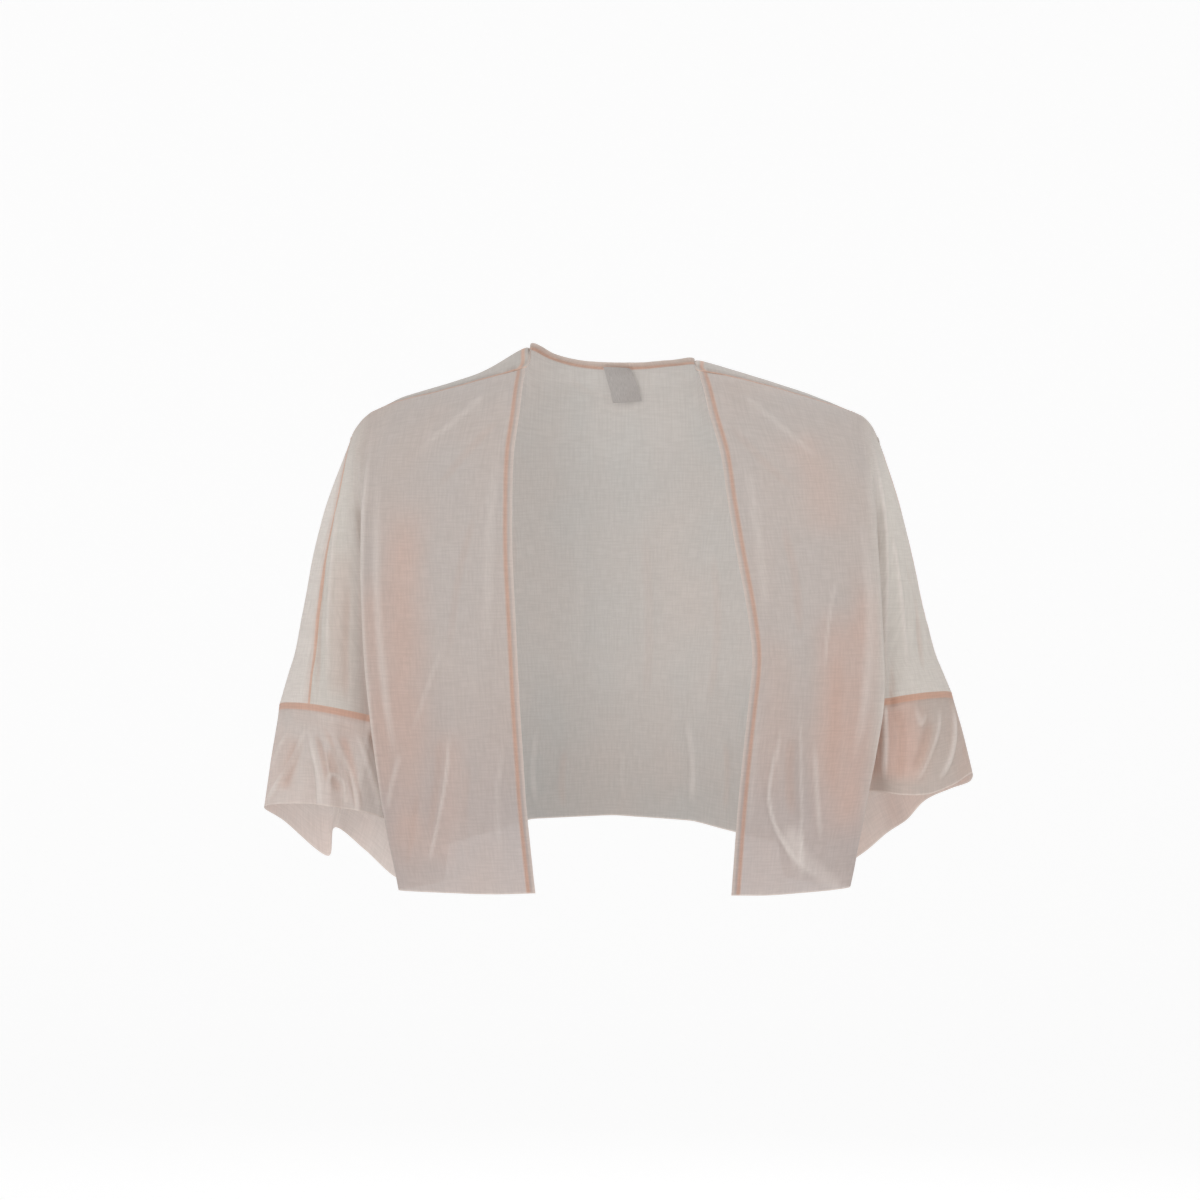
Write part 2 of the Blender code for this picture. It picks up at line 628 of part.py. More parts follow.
back = Cloth()
neck_line = []
for side, sign in (("right", -1), ("left", 1)):
    mirror = np.array([sign, 1, 1])
    grids, ring = half_jacket(side)
    panels = {}
    for face in (1, -1):
        moved = inset(grids[face], grids[-face], face)
        panels[face] = {name: grid * mirror for name, grid in moved.items()}
    front = Cloth()
    for name, grid in panels[1].items():
        front.add(grid, turned=side == "right")
    for name, grid in panels[-1].items():
        back.add(grid, turned=side == "left")
    make("front_" + side, front, CLOTH, BLUSH)

    # Turned edge down the front
    edge = np.concatenate([panels[1]["top"][:, 0], panels[1]["low"][1:, 0]])
    edge = evenly(edge, BAND_EDGE, BAND_EDGE, EDGE_ROW_STEP)
    make("edge_band_" + side, band(front, edge, EDGE_BAND, 1), BAND_CLOTH, PEACH)

    # Allowance of the shoulder and overarm seam, laid on the back
    start = NECK_STATIONS * ACROSS
    top, arm = panels[-1]["top"], panels[-1]["arm"]
    seam = np.concatenate([top[0, start:], top[1:, -1], arm[1:, -1]])
    side_back = Cloth()
    for grid in panels[-1].values():
        side_back.add(grid, turned=side == "left")
    seam_line = evenly(seam, EDGE_BAND + 3 * BAND_EDGE, 2 * BAND_EDGE, BAND_STEP)
    make("shoulder_band_" + side, band(side_back, seam_line, SEAM_BAND, 3), BAND_CLOTH, PEACH)

    # Cuff, and the allowance of its seam
    stations = through(ring, 2, before=ring[-2], after=ring[1])[:-1]
    hem = np.stack([CUFF_HEM[side][name] for name in "xyz"], axis=1)
    head, foot = closed_line(stations), closed_line(hem)
    rows = []
    for share in np.linspace(0, 1, CUFF_ROWS + 1):
        rows.append((head + (foot - head) * share) * mirror)
    rows[0] = toward(rows[0], rows[1], SEAM_GAP)
    cuff = Cloth()
    cuff.add(rows, turned=side == "right")
    make("cuff_" + side, cuff, CLOTH, BLUSH)
    fall = toward(rows[0], rows[1], 1.0) - rows[0]
    make("cuff_band_" + side, band(cuff, rows[0], SEAM_BAND, 2, ways=fall), BAND_CLOTH, PEACH)

    neck_line.append(top[0, : start + 1])

make("back", back, CLOTH, BLUSH)

# Turned edge along the back of the neck
neck_line = evenly(np.concatenate([neck_line[0][::-1], neck_line[1][1:]]), BAND_EDGE, BAND_EDGE, BAND_STEP)
make("neck_band", band(back, neck_line, EDGE_BAND, 3, gap=NECK_GAP), BAND_CLOTH, PEACH)

# Label, hung inside the back of the neck and turned a little by its own weight
tree = back.tree()
rows = []
for down in np.linspace(0, 1, LABEL_DOWN + 1):
    row = []
    for across in np.linspace(0, 1, LABEL_ACROSS + 1):
        x = LABEL_CORNER[0] + LABEL_WIDTH * across + LABEL_SWING * down
        spot = (x, NECK["right"]["y"][0], LABEL_CORNER[1] - LABEL_LENGTH * down)
        hang = LABEL_STAND * down * (LABEL_TILT - across)
        row.append(inside(tree, spot, CLOTH + NECK_GAP + BAND_CLOTH + LAY_GAP + hang))
    rows.append(row)
label = Cloth()
label.add(rows, turned=True)
make("label", label, BAND_CLOTH, SATIN)
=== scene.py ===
# %% [markdown]
# # A sheer bolero jacket, modelled the way it is sewn
# The jacket is open at the front and has kimono sleeves, which are cut in one with the fronts and the back.
# The cloth is a thin blush organza, so every seam and turned edge shows through it as a denser line.
# A fixed model of the jacket already exists, with a thick wall for each piece. This lesson dresses it:
# each wall is replaced by a fine sheet of cloth with its creases, its sewing and its finish.

import math

import bpy
import numpy as np
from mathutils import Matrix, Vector, noise
from mathutils.bvhtree import BVHTree
from mathutils.kdtree import KDTree


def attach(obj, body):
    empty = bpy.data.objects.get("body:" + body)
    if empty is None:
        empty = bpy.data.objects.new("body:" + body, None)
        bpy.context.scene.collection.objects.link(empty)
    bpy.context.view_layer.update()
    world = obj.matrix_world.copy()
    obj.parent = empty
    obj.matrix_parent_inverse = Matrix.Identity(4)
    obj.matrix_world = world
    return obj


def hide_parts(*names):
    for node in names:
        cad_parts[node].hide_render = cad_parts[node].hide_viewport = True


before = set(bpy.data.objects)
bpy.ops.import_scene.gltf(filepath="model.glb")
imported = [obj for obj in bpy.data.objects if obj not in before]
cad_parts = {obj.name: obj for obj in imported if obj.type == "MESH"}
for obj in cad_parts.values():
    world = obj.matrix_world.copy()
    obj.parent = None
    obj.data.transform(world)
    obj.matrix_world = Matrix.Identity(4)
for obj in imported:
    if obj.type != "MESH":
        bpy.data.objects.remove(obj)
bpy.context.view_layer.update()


# %% [markdown]
# ## A smooth line through a few points
# A garment's sections are given by a few stations, as a cutter marks them on paper. The cloth between
# two stations is a smooth curve. A centripetal curve is used, because it doesn't overshoot where two
# stations lie close together, as they do in a tight fold.

# %% Smooth lines and small tables
LEAST_GAP = 1e-6  # keeps the curve whole where two stations fall together


def table(names, *rows):
    """A short table of sizes: one array for each named column."""
    return dict(zip(names.split(), np.array(rows, float).T))


def rows_of(columns):
    return [dict(zip(columns, row)) for row in zip(*columns.values())]


def through(points, steps, before=None, after=None):
    """Points on the smooth curve through the given ones, with so many steps in each stretch."""
    p = np.asarray(points, float)
    stretches = len(p) - 1
    steps = [steps] * stretches if isinstance(steps, int) else steps
    before = 2 * p[0] - p[1] if before is None else before
    after = 2 * p[-1] - p[-2] if after is None else after
    p = np.concatenate([[before], p, [after]])
    gap = np.sqrt(np.maximum(np.linalg.norm(np.diff(p, axis=0), axis=1), LEAST_GAP))
    found = []
    for i, count in enumerate(steps, 1):
        a, b, c = gap[i - 1 : i + 2]
        leave = (p[i] - p[i - 1]) / a - (p[i + 1] - p[i - 1]) / (a + b) + (p[i + 1] - p[i]) / b
        arrive = (p[i + 1] - p[i]) / b - (p[i + 2] - p[i]) / (b + c) + (p[i + 2] - p[i + 1]) / c
        t = (np.arange(count) / count)[:, None]
        found.append(
            (2 * t**3 - 3 * t**2 + 1) * p[i]
            + (t**3 - 2 * t**2 + t) * b * leave
            + (3 * t**2 - 2 * t**3) * p[i + 1]
            + (t**3 - t**2) * b * arrive
        )
    return np.concatenate(found + [p[-2:-1]])


print("a curve through 3 points in 4 steps each has", len(through([(0, 0), (1, 1), (2, 0)], 4)), "points")

# %% [markdown]
# ## The sizes of the worn shape
# These are the sizes that the fixed model was made from, in millimetres. The origin lies between the
# shoulders, at the height of the neck ends of the shoulder seams. Each side has its own columns, because
# the cloth hangs a little differently on the right and on the left.

# %% Shoulder seam and neck edge
# Shoulder seam at each station of the front. top_z is the height of the shoulder's crest behind it.
SHOULDER = {
    "right": table(
        "x      y     z     top_z",
        (81.0, -28.0, -3.0, 18.0),
        (122.0, -22.0, -13.0, -3.5),
        (165.0, -14.0, -25.0, -18.5),
        (203.0, -6.0, -34.5, -32.0),
        (226.0, -3.0, -43.5, -42.5),
        (231.0, -3.0, -47.0, -46.5),
        (235.0, -3.0, -50.5, -50.0),
        (238.0, -3.5, -54.0, -53.5),
        (241.0, -5.0, -58.0, -58.0),
        (243.5, -8.0, -63.0, -63.0),
        (245.0, -12.0, -68.0, -68.0),
    ),
    "left": table(
        "x      y     z     top_z",
        (80.5, -28.0, -6.0, 6.0),
        (122.0, -22.0, -13.0, -5.0),
        (165.0, -14.0, -24.0, -19.0),
        (205.0, -6.0, -36.0, -34.5),
        (233.0, -3.0, -46.0, -45.0),
        (238.0, -3.0, -49.5, -49.0),
        (241.0, -3.0, -52.5, -52.0),
        (243.5, -3.5, -56.0, -55.5),
        (246.0, -5.0, -60.0, -60.0),
        (248.0, -8.0, -65.0, -65.0),
        (249.5, -12.0, -70.0, -70.0),
    ),
}

# Back neck edge, from the middle of the back to the corner that stands up beside the neck
NECK = {
    "right": table(
        "x     y     z",
        (0.0, 66.0, 8.0),
        (30.0, 60.0, 9.5),
        (53.0, 43.0, 14.0),
        (76.0, 8.0, 22.0),
    ),
    "left": table(
        "x     y     z",
        (0.0, 66.0, 8.0),
        (30.0, 60.0, 8.0),
        (57.0, 42.0, 9.0),
        (77.0, 8.0, 8.5),
    ),
}
print("shoulder seams run", SHOULDER["right"]["x"][-1], "and", SHOULDER["left"]["x"][-1], "mm out")

# %% [markdown]
# ## Level sections
# Below the shoulders the cloth is described by level sections, like the rings of a tree. Each row says
# where the free edge, the chest, the drape fold, the hollow beside the sleeve, the shoulder blade and the
# spine lie. The sleeve has rings of its own.

# %% Sections of the body, rings of the sleeve and the cuff's hem
UNDERARM = -272.0  # height of the underarm
UNDERARM_GAP = 2.0  # half of what front and back lie apart there

# Level sections of the body above the underarm. valley is the hollow between body and sleeve.
UPPER = {
    "right": table(
        "z    edge_x edge_y chest_y ridge_x ridge_y valley_x front_y back_y rear_x rear_y blade_y spine_y",
        (-85, 90.0, -88, -90, 230, -36, 237, -36, 33, 236, 34, 92, 86),
        (-130, 91.0, -108, -110, 232, -60, 234, -50, 50, 236, 56, 104, 98),
        (-180, 90.5, -119, -123, 231, -76, 218, -47, 50, 228, 74, 110, 104),
        (-230, 88.0, -123, -129, 229, -89, 194, -30, 32, 221, 83, 109, 104),
        (UNDERARM, 86.0, -122, -131, 227, -95, 169, -UNDERARM_GAP, UNDERARM_GAP, 214, 86, 107, 102),
    ),
    "left": table(
        "z    edge_x edge_y chest_y ridge_x ridge_y valley_x front_y back_y rear_x rear_y blade_y spine_y",
        (-85, 99.0, -88, -90, 236, -36, 242, -36, 33, 240, 34, 92, 86),
        (-130, 105.0, -108, -110, 243, -60, 243, -50, 50, 241, 56, 104, 98),
        (-180, 113.0, -119, -123, 246, -76, 230, -47, 50, 232, 74, 110, 104),
        (-230, 122.0, -123, -129, 248, -89, 203, -30, 32, 224, 83, 109, 104),
        (UNDERARM, 126.5, -122, -131, 249, -95, 172, -UNDERARM_GAP, UNDERARM_GAP, 217, 86, 107, 102),
    ),
}

# Level sections of the body below the underarm. fall is the share of the way down to the hem.
LOWER = {
    "right": table(
        "fall edge_x edge_y chest_y ridge_x ridge_y side_x side_y rear_x rear_y blade_y spine_y",
        (0.20, 84.0, -121, -131, 223, -99, 157, 1, 207, 86, 104, 101),
        (0.42, 81.0, -119, -130, 217, -101, 151, 2, 201, 84, 103, 100),
        (0.65, 77.5, -116, -128, 210, -102, 150, 4, 196, 82, 102, 99),
        (1.00, 70.0, -112, -124, 196, -101, 158, 4, 190, 80, 100, 98),
    ),
    "left": table(
        "fall edge_x edge_y chest_y ridge_x ridge_y side_x side_y rear_x rear_y blade_y spine_y",
        (0.20, 123.0, -121, -131, 248, -99, 160, 1, 211, 86, 104, 101),
        (0.42, 118.0, -119, -130, 241, -101, 154, 2, 205, 84, 103, 100),
        (0.65, 113.5, -116, -128, 232, -102, 153, 4, 200, 82, 102, 99),
        (1.00, 108.0, -112, -124, 218, -101, 161, 4, 194, 80, 100, 98),
    ),
}

# Height of the hem under each part of the body
HEM = {
    "right": dict(edge=-487, chest=-487, ridge=-485, side=-482, rear=-466, blade=-432, spine=-428),
    "left": dict(edge=-489, chest=-488, ridge=-482, side=-479, rear=-464, blade=-434, spine=-428),
}

# Rings of the sleeve. angle is where the overarm seam lies, from the outermost line towards the front.
SLEEVE = {
    "right": table(
        "z     outer_x half front back centre_y angle",
        (-85, 252.0, 25, 40, 40, -2, 33),
        (-130, 268.5, 43, 48, 50, -4, 46),
        (-180, 281.0, 54, 55, 55, -6, 45),
        (-230, 290.0, 60, 58, 57, -9, 46),
        (UNDERARM, 299.0, 65, 60, 58, -12, 51),
        (-300, 305.0, 68, 61, 60, -15, 54),
        (-332, 312.0, 73, 62, 62, -18, 57),
    ),
    "left": table(
        "z     outer_x half front back centre_y angle",
        (-85, 256.0, 26, 40, 40, -2, 20),
        (-130, 270.5, 44, 48, 50, -4, 16),
        (-180, 283.0, 54, 55, 55, -6, 12),
        (-230, 293.0, 60, 58, 57, -9, 10),
        (UNDERARM, 304.0, 66, 60, 58, -12, 8),
        (-292, 309.0, 68, 61, 60, -15, 8),
        (-322, 318.0, 75, 62, 62, -18, 8),
    ),
}
# The cuff's lower edge: from the underarm along the front to the overarm seam, and back along the rear
CUFF_HEM = {
    "right": table(
        "x    y    z",
        (176, -10, -468),
        (181, -30, -450),
        (192, -46, -436),
        (205, -58, -425),
        (219, -72, -418),
        (236, -82, -413),
        (248, -72, -412),
        (261, -86, -409),
        (273, -72, -408),
        (300, -62, -408),
        (326, -14, -414),
        (311, 30, -429),
        (271, 66, -465),
        (263, 38, -436),
        (236, 54, -458),
        (203, 36, -484),
    ),
    "left": table(
        "x    y    z",
        (178, -10, -462),
        (183, -34, -442),
        (197, -52, -425),
        (217, -72, -404),
        (240, -66, -397),
        (266, -80, -399),
        (290, -72, -399),
        (314, -54, -392),
        (337, -16, -382),
        (337, 8, -391),
        (321, 32, -399),
        (299, 50, -411),
        (282, 44, -428),
        (263, 60, -443),
        (240, 50, -461),
        (206, 34, -478),
    ),
}
print("sections:", len(UPPER["right"]["z"]), "above the underarm,", len(LOWER["right"]["fall"]), "below it")

# %% [markdown]
# ## From sizes to sections
# A section is a few points in plan: first the front from its free edge to the fold, then the sleeve's
# front up to the overarm seam. The back is made in the same way from the spine outwards.

# %% Sections in plan
# A front's section has eleven stations. The seventh is the hollow between body and sleeve.
FRONT_STATIONS = 11
VALLEY = 6
SLEEVE_STATIONS = FRONT_STATIONS - 1 - VALLEY

# Shares of a section's width, each with a share of its rise to the chest or the shoulder blade
CHEST_AT = 0.30
FRONT_ROUND = ((0.60, 0.40), (0.87, 0.76))
BESIDE_SPINE = ((0, 0), (0.13, 0.4), (0.24, 0.8), (0.34, 1))
BACK_ROUND = ((0.41, 0.05), (0.56, 0.32), (0.72, 0.58), (0.88, 0.82))
TURN_IN = (0.42, 0.38)  # where a fold's ridge has turned in: share of the width and of the depth
PINCH = 1.6  # how much the side of a sleeve's ring that faces the body is drawn together


def bow(share):
    """Falls from 1 to 0 along a quarter of a circle."""
    return math.cos(math.radians(90 * share))


def fold_to_hollow(ridge_x, ridge_y, hollow_x, hollow_y):
    """The ridge of a fold, the place where it has turned in, and the hollow."""
    turn_x = hollow_x + TURN_IN[0] * (ridge_x - hollow_x)
    turn_y = ridge_y + TURN_IN[1] * (hollow_y - ridge_y)
    return [(ridge_x, ridge_y), (turn_x, turn_y), (hollow_x, hollow_y)]


def front_section(row, hollow_x, hollow_y):
    """The body's front from its free edge to the drape fold's ridge, and back in to the hollow."""
    edge_x, ridge_x, ridge_y = row["edge_x"], row["ridge_x"], row["ridge_y"]
    width, depth = ridge_x - edge_x, row["chest_y"] - ridge_y
    flat = [(edge_x, row["edge_y"]), (edge_x + CHEST_AT * width, row["chest_y"])]
    curved = [(edge_x + x * width, ridge_y + depth * bow(share)) for x, share in FRONT_ROUND]
    return flat + curved + fold_to_hollow(ridge_x, ridge_y, hollow_x, hollow_y)


def back_section(row, hollow_x, hollow_y):
    """The body's back from the middle to the rear fold, and in to the hollow."""
    rear_x, rear_y = row["rear_x"], row["rear_y"]
    blade_y, spine_y = row["blade_y"], row["spine_y"]
    flat = [(x * rear_x, spine_y + rise * (blade_y - spine_y)) for x, rise in BESIDE_SPINE]
    curved = [(x * rear_x, rear_y + (blade_y - rear_y) * bow(share)) for x, share in BACK_ROUND]
    return flat + curved + fold_to_hollow(rear_x, rear_y, hollow_x, hollow_y)


def sleeve_section(ring, hollow_x, face):
    """The sleeve from the hollow (left out) to the overarm seam, on its front (1) or its back (-1)."""
    middle = ring["outer_x"] - ring["half"]
    reach = max(-1.0, min(1.0, (hollow_x - middle) / ring["half"]))
    start = face * math.acos(reach)
    end = math.radians(ring["angle"])
    found = []
    for share in np.arange(1, SLEEVE_STATIONS + 1) / SLEEVE_STATIONS:
        angle = start + share * (end - start)
        depth = ring["front"] if angle > 0 else ring["back"]
        swell = abs(math.sin(angle)) ** (1.0 if math.cos(angle) > 0 else PINCH)
        x = middle + ring["half"] * math.cos(angle)
        found.append((x, ring["centre_y"] - math.copysign(depth * swell, angle)))
    return found


print("a front has", len(front_section(rows_of(UPPER["right"])[0], 200, -30)) + SLEEVE_STATIONS, "stations")

# %% [markdown]
# ## The net of stations
# Sections stacked from the shoulder seam down to the underarm make a net. Below the underarm the net
# parts into the body, down to the hem, and the sleeve, down to the cuff seam. Near the shoulder the cloth
# bows out over the wearer before it falls, so two more levels are put between the seam and the first
# section.

# %% Nets of one side
NECK_STATIONS = 4
CREST = 36.0  # how far the shoulder's crest lies behind the seam
CREST_STATIONS = slice(0, VALLEY - 2)
# How far the two levels under an edge have gone towards the first section, in x, y and z
UNDER_SEAM = np.array([(0.2, 0.42, 0.22), (0.5, 0.76, 0.56)])
UNDER_NECK = np.array([(0.2, 0.30, 0.10), (0.5, 0.68, 0.40)])
UNDER_CREST = (0.5, 0.55, 0.32)
# The stations for which the hem's height is given
FRONT_HEM_AT = (0, 1, 4, 6)
BACK_HEM_AT = (0, 4, 8, 10)
# Over half a sleeve's width the cuff seam rises outwards, and over its depth it falls towards the rear
CUFF_RISE = 15.0
CUFF_LEAN = 10.0


def upper_net(side, face):
    """Levels from the shoulder seam down to the underarm, of one side's front (1) or back (-1)."""
    levels = []
    for row, ring in zip(rows_of(UPPER[side]), rows_of(SLEEVE[side])):
        if face > 0:
            flat = front_section(row, row["valley_x"], row["front_y"])
        else:
            flat = back_section(row, row["valley_x"], row["back_y"])
        flat += sleeve_section(ring, row["valley_x"], face)
        levels.append([(x, y, row["z"]) for x, y in flat])
    levels = np.array(levels)
    shoulder = SHOULDER[side]
    seam = np.stack([shoulder[name] for name in "xyz"], axis=1)
    below = levels[0, -FRONT_STATIONS:]
    on_sleeve = np.clip((np.arange(FRONT_STATIONS) - VALLEY) / SLEEVE_STATIONS, 0, 1)[:, None]
    first = seam + (below - seam) * ((1 - on_sleeve) * UNDER_SEAM[0] + on_sleeve / 3)
    second = seam + (below - seam) * ((1 - on_sleeve) * UNDER_SEAM[1] + on_sleeve * 2 / 3)
    if face > 0:
        return np.concatenate([[seam, first, second], levels])
    crest = np.stack([shoulder["x"], shoulder["y"] + CREST, shoulder["top_z"]], axis=1)[CREST_STATIONS]
    first[CREST_STATIONS] = crest
    second[CREST_STATIONS] = crest + (below[CREST_STATIONS] - crest) * UNDER_CREST
    neck = np.stack([NECK[side][name] for name in "xyz"], axis=1)
    blade = levels[0, :NECK_STATIONS]
    necks = [neck] + [neck + (blade - neck) * gone for gone in UNDER_NECK]
    caps = [np.concatenate([n, s]) for n, s in zip(necks, (seam, first, second))]
    return np.concatenate([caps, levels])


def body_net(side, face):
    """Levels of the body below the underarm, down to the hem."""
    hem = HEM[side]
    levels = []
    for row in rows_of(LOWER[side]):
        if face > 0:
            flat = front_section(row, row["side_x"], row["side_y"])
            heights = [hem["edge"], hem["chest"], hem["ridge"], hem["side"]]
            ends = np.interp(range(len(flat)), FRONT_HEM_AT, heights)
        else:
            flat = back_section(row, row["side_x"], row["side_y"])
            heights = [hem["spine"], hem["blade"], hem["rear"], hem["side"]]
            ends = np.interp(range(len(flat)), BACK_HEM_AT, heights)
        level = UNDERARM + row["fall"] * (ends - UNDERARM)
        levels.append([(x, y, z) for (x, y), z in zip(flat, level)])
    return np.array(levels)


def sleeve_net(side, face):
    """Levels of the sleeve below the underarm, down to the cuff seam."""
    rings = rows_of(SLEEVE[side])[len(UPPER[side]["z"]) :]
    levels = []
    for i, ring in enumerate(rings, 1):
        middle = ring["outer_x"] - ring["half"]
        inner_x = middle - ring["half"]
        share = i / len(rings)
        level = []
        for x, y in [(inner_x, ring["centre_y"])] + sleeve_section(ring, inner_x, face):
            rise = CUFF_RISE * (x - middle) / ring["half"]
            rise -= CUFF_LEAN * (y - ring["centre_y"]) / ring["back"]
            level.append((x, y, ring["z"] + share * rise))
        levels.append(level)
    return np.array(levels)


print("levels:", len(upper_net("right", 1)), "above the underarm,", len(body_net("right", 1)), "to the hem")

# %% [markdown]
# ## A fine grid of cloth
# The net's lines are now smoothed in both directions, with many more steps than the fixed model has, so
# that a crease a few millimetres wide has points to live on. Each line runs round from the front over the
# seam to the back, which keeps the two pieces in one smooth curve where they are sewn together.

# %% Fine grids of one side
# Steps between two stations, and between two levels
ACROSS = 12
SLEEVE_ACROSS = 14
DOWN = 18


def half_jacket(side):
    """Fine grids of one side's front (1) and back (-1): above the underarm, the body and the sleeve."""
    upper = {face: upper_net(side, face) for face in (1, -1)}
    body = {face: body_net(side, face) for face in (1, -1)}
    arm = {face: sleeve_net(side, face) for face in (1, -1)}

    def column(station, lower):
        """One line down the front and one down the back, smooth over the shoulder seam."""
        front = np.concatenate([upper[1][:, station], lower[1]])
        back = np.concatenate([upper[-1][:, station + NECK_STATIONS], lower[-1]])
        line = through(np.concatenate([front[::-1], back[1:]]), DOWN)
        seam = (len(front) - 1) * DOWN
        return line[seam::-1], line[seam:]

    depth = (len(upper[1]) - 1) * DOWN
    columns = []
    for station in range(FRONT_STATIONS):
        if station <= VALLEY:
            lower = {1: body[1][:, station], -1: body[-1][:, station + NECK_STATIONS]}
        else:
            lower = {face: arm[face][:, station - VALLEY] for face in (1, -1)}
        columns.append(column(station, lower))
    underarm = column(VALLEY, {face: arm[face][:, 0] for face in (1, -1)})
    neck = [through(np.concatenate([upper[-1][:, k], body[-1][:, k]]), DOWN) for k in range(NECK_STATIONS)]

    front_rows = np.stack([c[0][: depth + 1] for c in columns], axis=1)
    back_rows = np.stack([n[: depth + 1] for n in neck] + [c[1][: depth + 1] for c in columns], axis=1)
    front_steps = [ACROSS] * VALLEY + [SLEEVE_ACROSS] * SLEEVE_STATIONS
    back_steps = [ACROSS] * (VALLEY + NECK_STATIONS) + [SLEEVE_ACROSS] * SLEEVE_STATIONS
    split = sum(front_steps)
    flip = np.array([-1, 1, 1])
    top = {1: [], -1: []}
    for level, (front, back) in enumerate(zip(front_rows, back_rows)):
        if level == 0:
            seam = through(front, front_steps)
            edge = through(back, back_steps, before=back[1] * flip)
            top[1].append(seam)
            top[-1].append(np.concatenate([edge[: NECK_STATIONS * ACROSS], seam]))
            continue
        line = through(
            np.concatenate([front, back[-2::-1]]), front_steps + back_steps[::-1], after=back[1] * flip
        )
        top[1].append(line[: split + 1])
        top[-1].append(line[split:][::-1])

    low = {1: [], -1: []}
    for level in range(1, len(body[1]) * DOWN + 1):
        row = depth + level
        front = np.array([c[0][row] for c in columns[: VALLEY + 1]])
        back = np.array([n[row] for n in neck] + [c[1][row] for c in columns[: VALLEY + 1]])
        line = through(np.concatenate([front, back[-2::-1]]), ACROSS, after=back[1] * flip)
        low[1].append(line[: VALLEY * ACROSS + 1])
        low[-1].append(line[VALLEY * ACROSS :][::-1])

    sleeve = {1: [], -1: []}
    for level in range(1, len(arm[1]) * DOWN + 1):
        front, back = [
            np.array([c[i][depth + level] for c in [underarm] + columns[VALLEY + 1 :]]) for i in (0, 1)
        ]
        line = through(np.concatenate([front, back[-2::-1]]), SLEEVE_ACROSS, before=back[1], after=front[1])
        sleeve[1].append(line[: SLEEVE_STATIONS * SLEEVE_ACROSS + 1])
        sleeve[-1].append(line[SLEEVE_STATIONS * SLEEVE_ACROSS :][::-1])

    grids = {}
    for face in (1, -1):
        above = np.array(top[face])
        valley = above.shape[1] - 1 - SLEEVE_STATIONS * SLEEVE_ACROSS
        grids[face] = dict(
            top=above,
            low=np.array([above[-1, : valley + 1]] + low[face]),
            arm=np.array([above[-1, valley:]] + sleeve[face]),
        )
    return grids


halves = {}
for side, sign in (("right", -1), ("left", 1)):
    grids = half_jacket(side)
    mirror = np.array([sign, 1, 1])
    halves[side] = {face: {name: grid * mirror for name, grid in grids[face].items()} for face in (1, -1)}
print("points in one front:", sum(g.shape[0] * g.shape[1] for g in halves["right"][1].values()))

# %% [markdown]
# ## Sewing the grids into one net
# The fronts and the back are separate pieces of cloth, but at a seam they share every stitch. So all the
# grids are first welded into one net, where a point on a seam belongs to both pieces. The directions in
# which the cloth faces are worked out on the whole net, and so a crease can run over a seam unbroken.
# Each point also keeps a few marks, such as its distance from the nearest seam. The finish reads them
# later, to know where more layers of cloth lie behind each other and where to paint light and shade.

# %% A net that welds grids of cloth
WEAVE_UNIT = 100.0  # millimetres of cloth to each unit of the threads' map
WELD_DIGITS = 3  # points that agree to a thousandth of a millimetre are one
FAR = 50.0  # distances from a line of sewing are kept up to here
MARKS = dict(fold=0.0, warm=0.0, bright=0.0, edge=FAR, seam=FAR, hem=FAR)


def cells(number, turned):
    """Corner numbers of each square of a grid."""
    a, b, c, d = number[:-1, :-1], number[1:, :-1], number[1:, 1:], number[:-1, 1:]
    corners = (a, d, c, b) if turned else (a, b, c, d)
    return np.stack([k.reshape(-1) for k in corners], axis=1)


def lengths(grid):
    """How far each point of a grid lies along its row and down its column, in units of the threads' map."""
    along = np.linalg.norm(np.diff(grid, axis=1), axis=2).mean(axis=0)
    down = np.linalg.norm(np.diff(grid, axis=0), axis=2).mean(axis=1)
    u = np.concatenate([[0], np.cumsum(along)])
    v = np.concatenate([[0], np.cumsum(down)])
    return np.stack(np.meshgrid(u, v), axis=2) / WEAVE_UNIT


class Net:
    """Grids of one or more pieces of cloth, welded where they meet."""

    def __init__(self):
        self.grids, self.squares, self.names, self.weave = [], [], [], []
        self.count = 0

    def add(self, name, grid, turned):
        """Adds a grid, and gives back the numbers of its points before welding."""
        number = self.count + np.arange(grid[..., 0].size).reshape(grid.shape[:2])
        self.grids.append(grid.reshape(-1, 3))
        self.squares.append(cells(number, turned))
        self.names += [name] * len(self.squares[-1])
        self.weave.append(lengths(grid).reshape(-1, 2))
        self.count += number.size
        return number

    def weld(self):
        every = np.concatenate(self.grids)
        spots = np.round(every, WELD_DIGITS) + 0.0
        _, first, number = np.unique(spots, axis=0, return_index=True, return_inverse=True)
        self.number = number.reshape(-1)
        self.points = every[first]
        loose = np.concatenate(self.squares)
        self.corner_weave = np.concatenate(self.weave)[loose]
        self.squares = self.number[loose]
        self.names = np.array(self.names)
        self.marks = {name: np.full(len(self.points), value) for name, value in MARKS.items()}

    def directions(self):
        """The way that the cloth faces at each point."""
        a, b, c, d = [self.points[self.squares[:, k]] for k in range(4)]
        facing = np.cross(c - a, d - b)
        total = np.zeros_like(self.points)
        for k in range(4):
            np.add.at(total, self.squares[:, k], facing)
        return total / np.maximum(np.linalg.norm(total, axis=1, keepdims=True), 1e-9)


print("each point of a net keeps", len(MARKS), "marks")

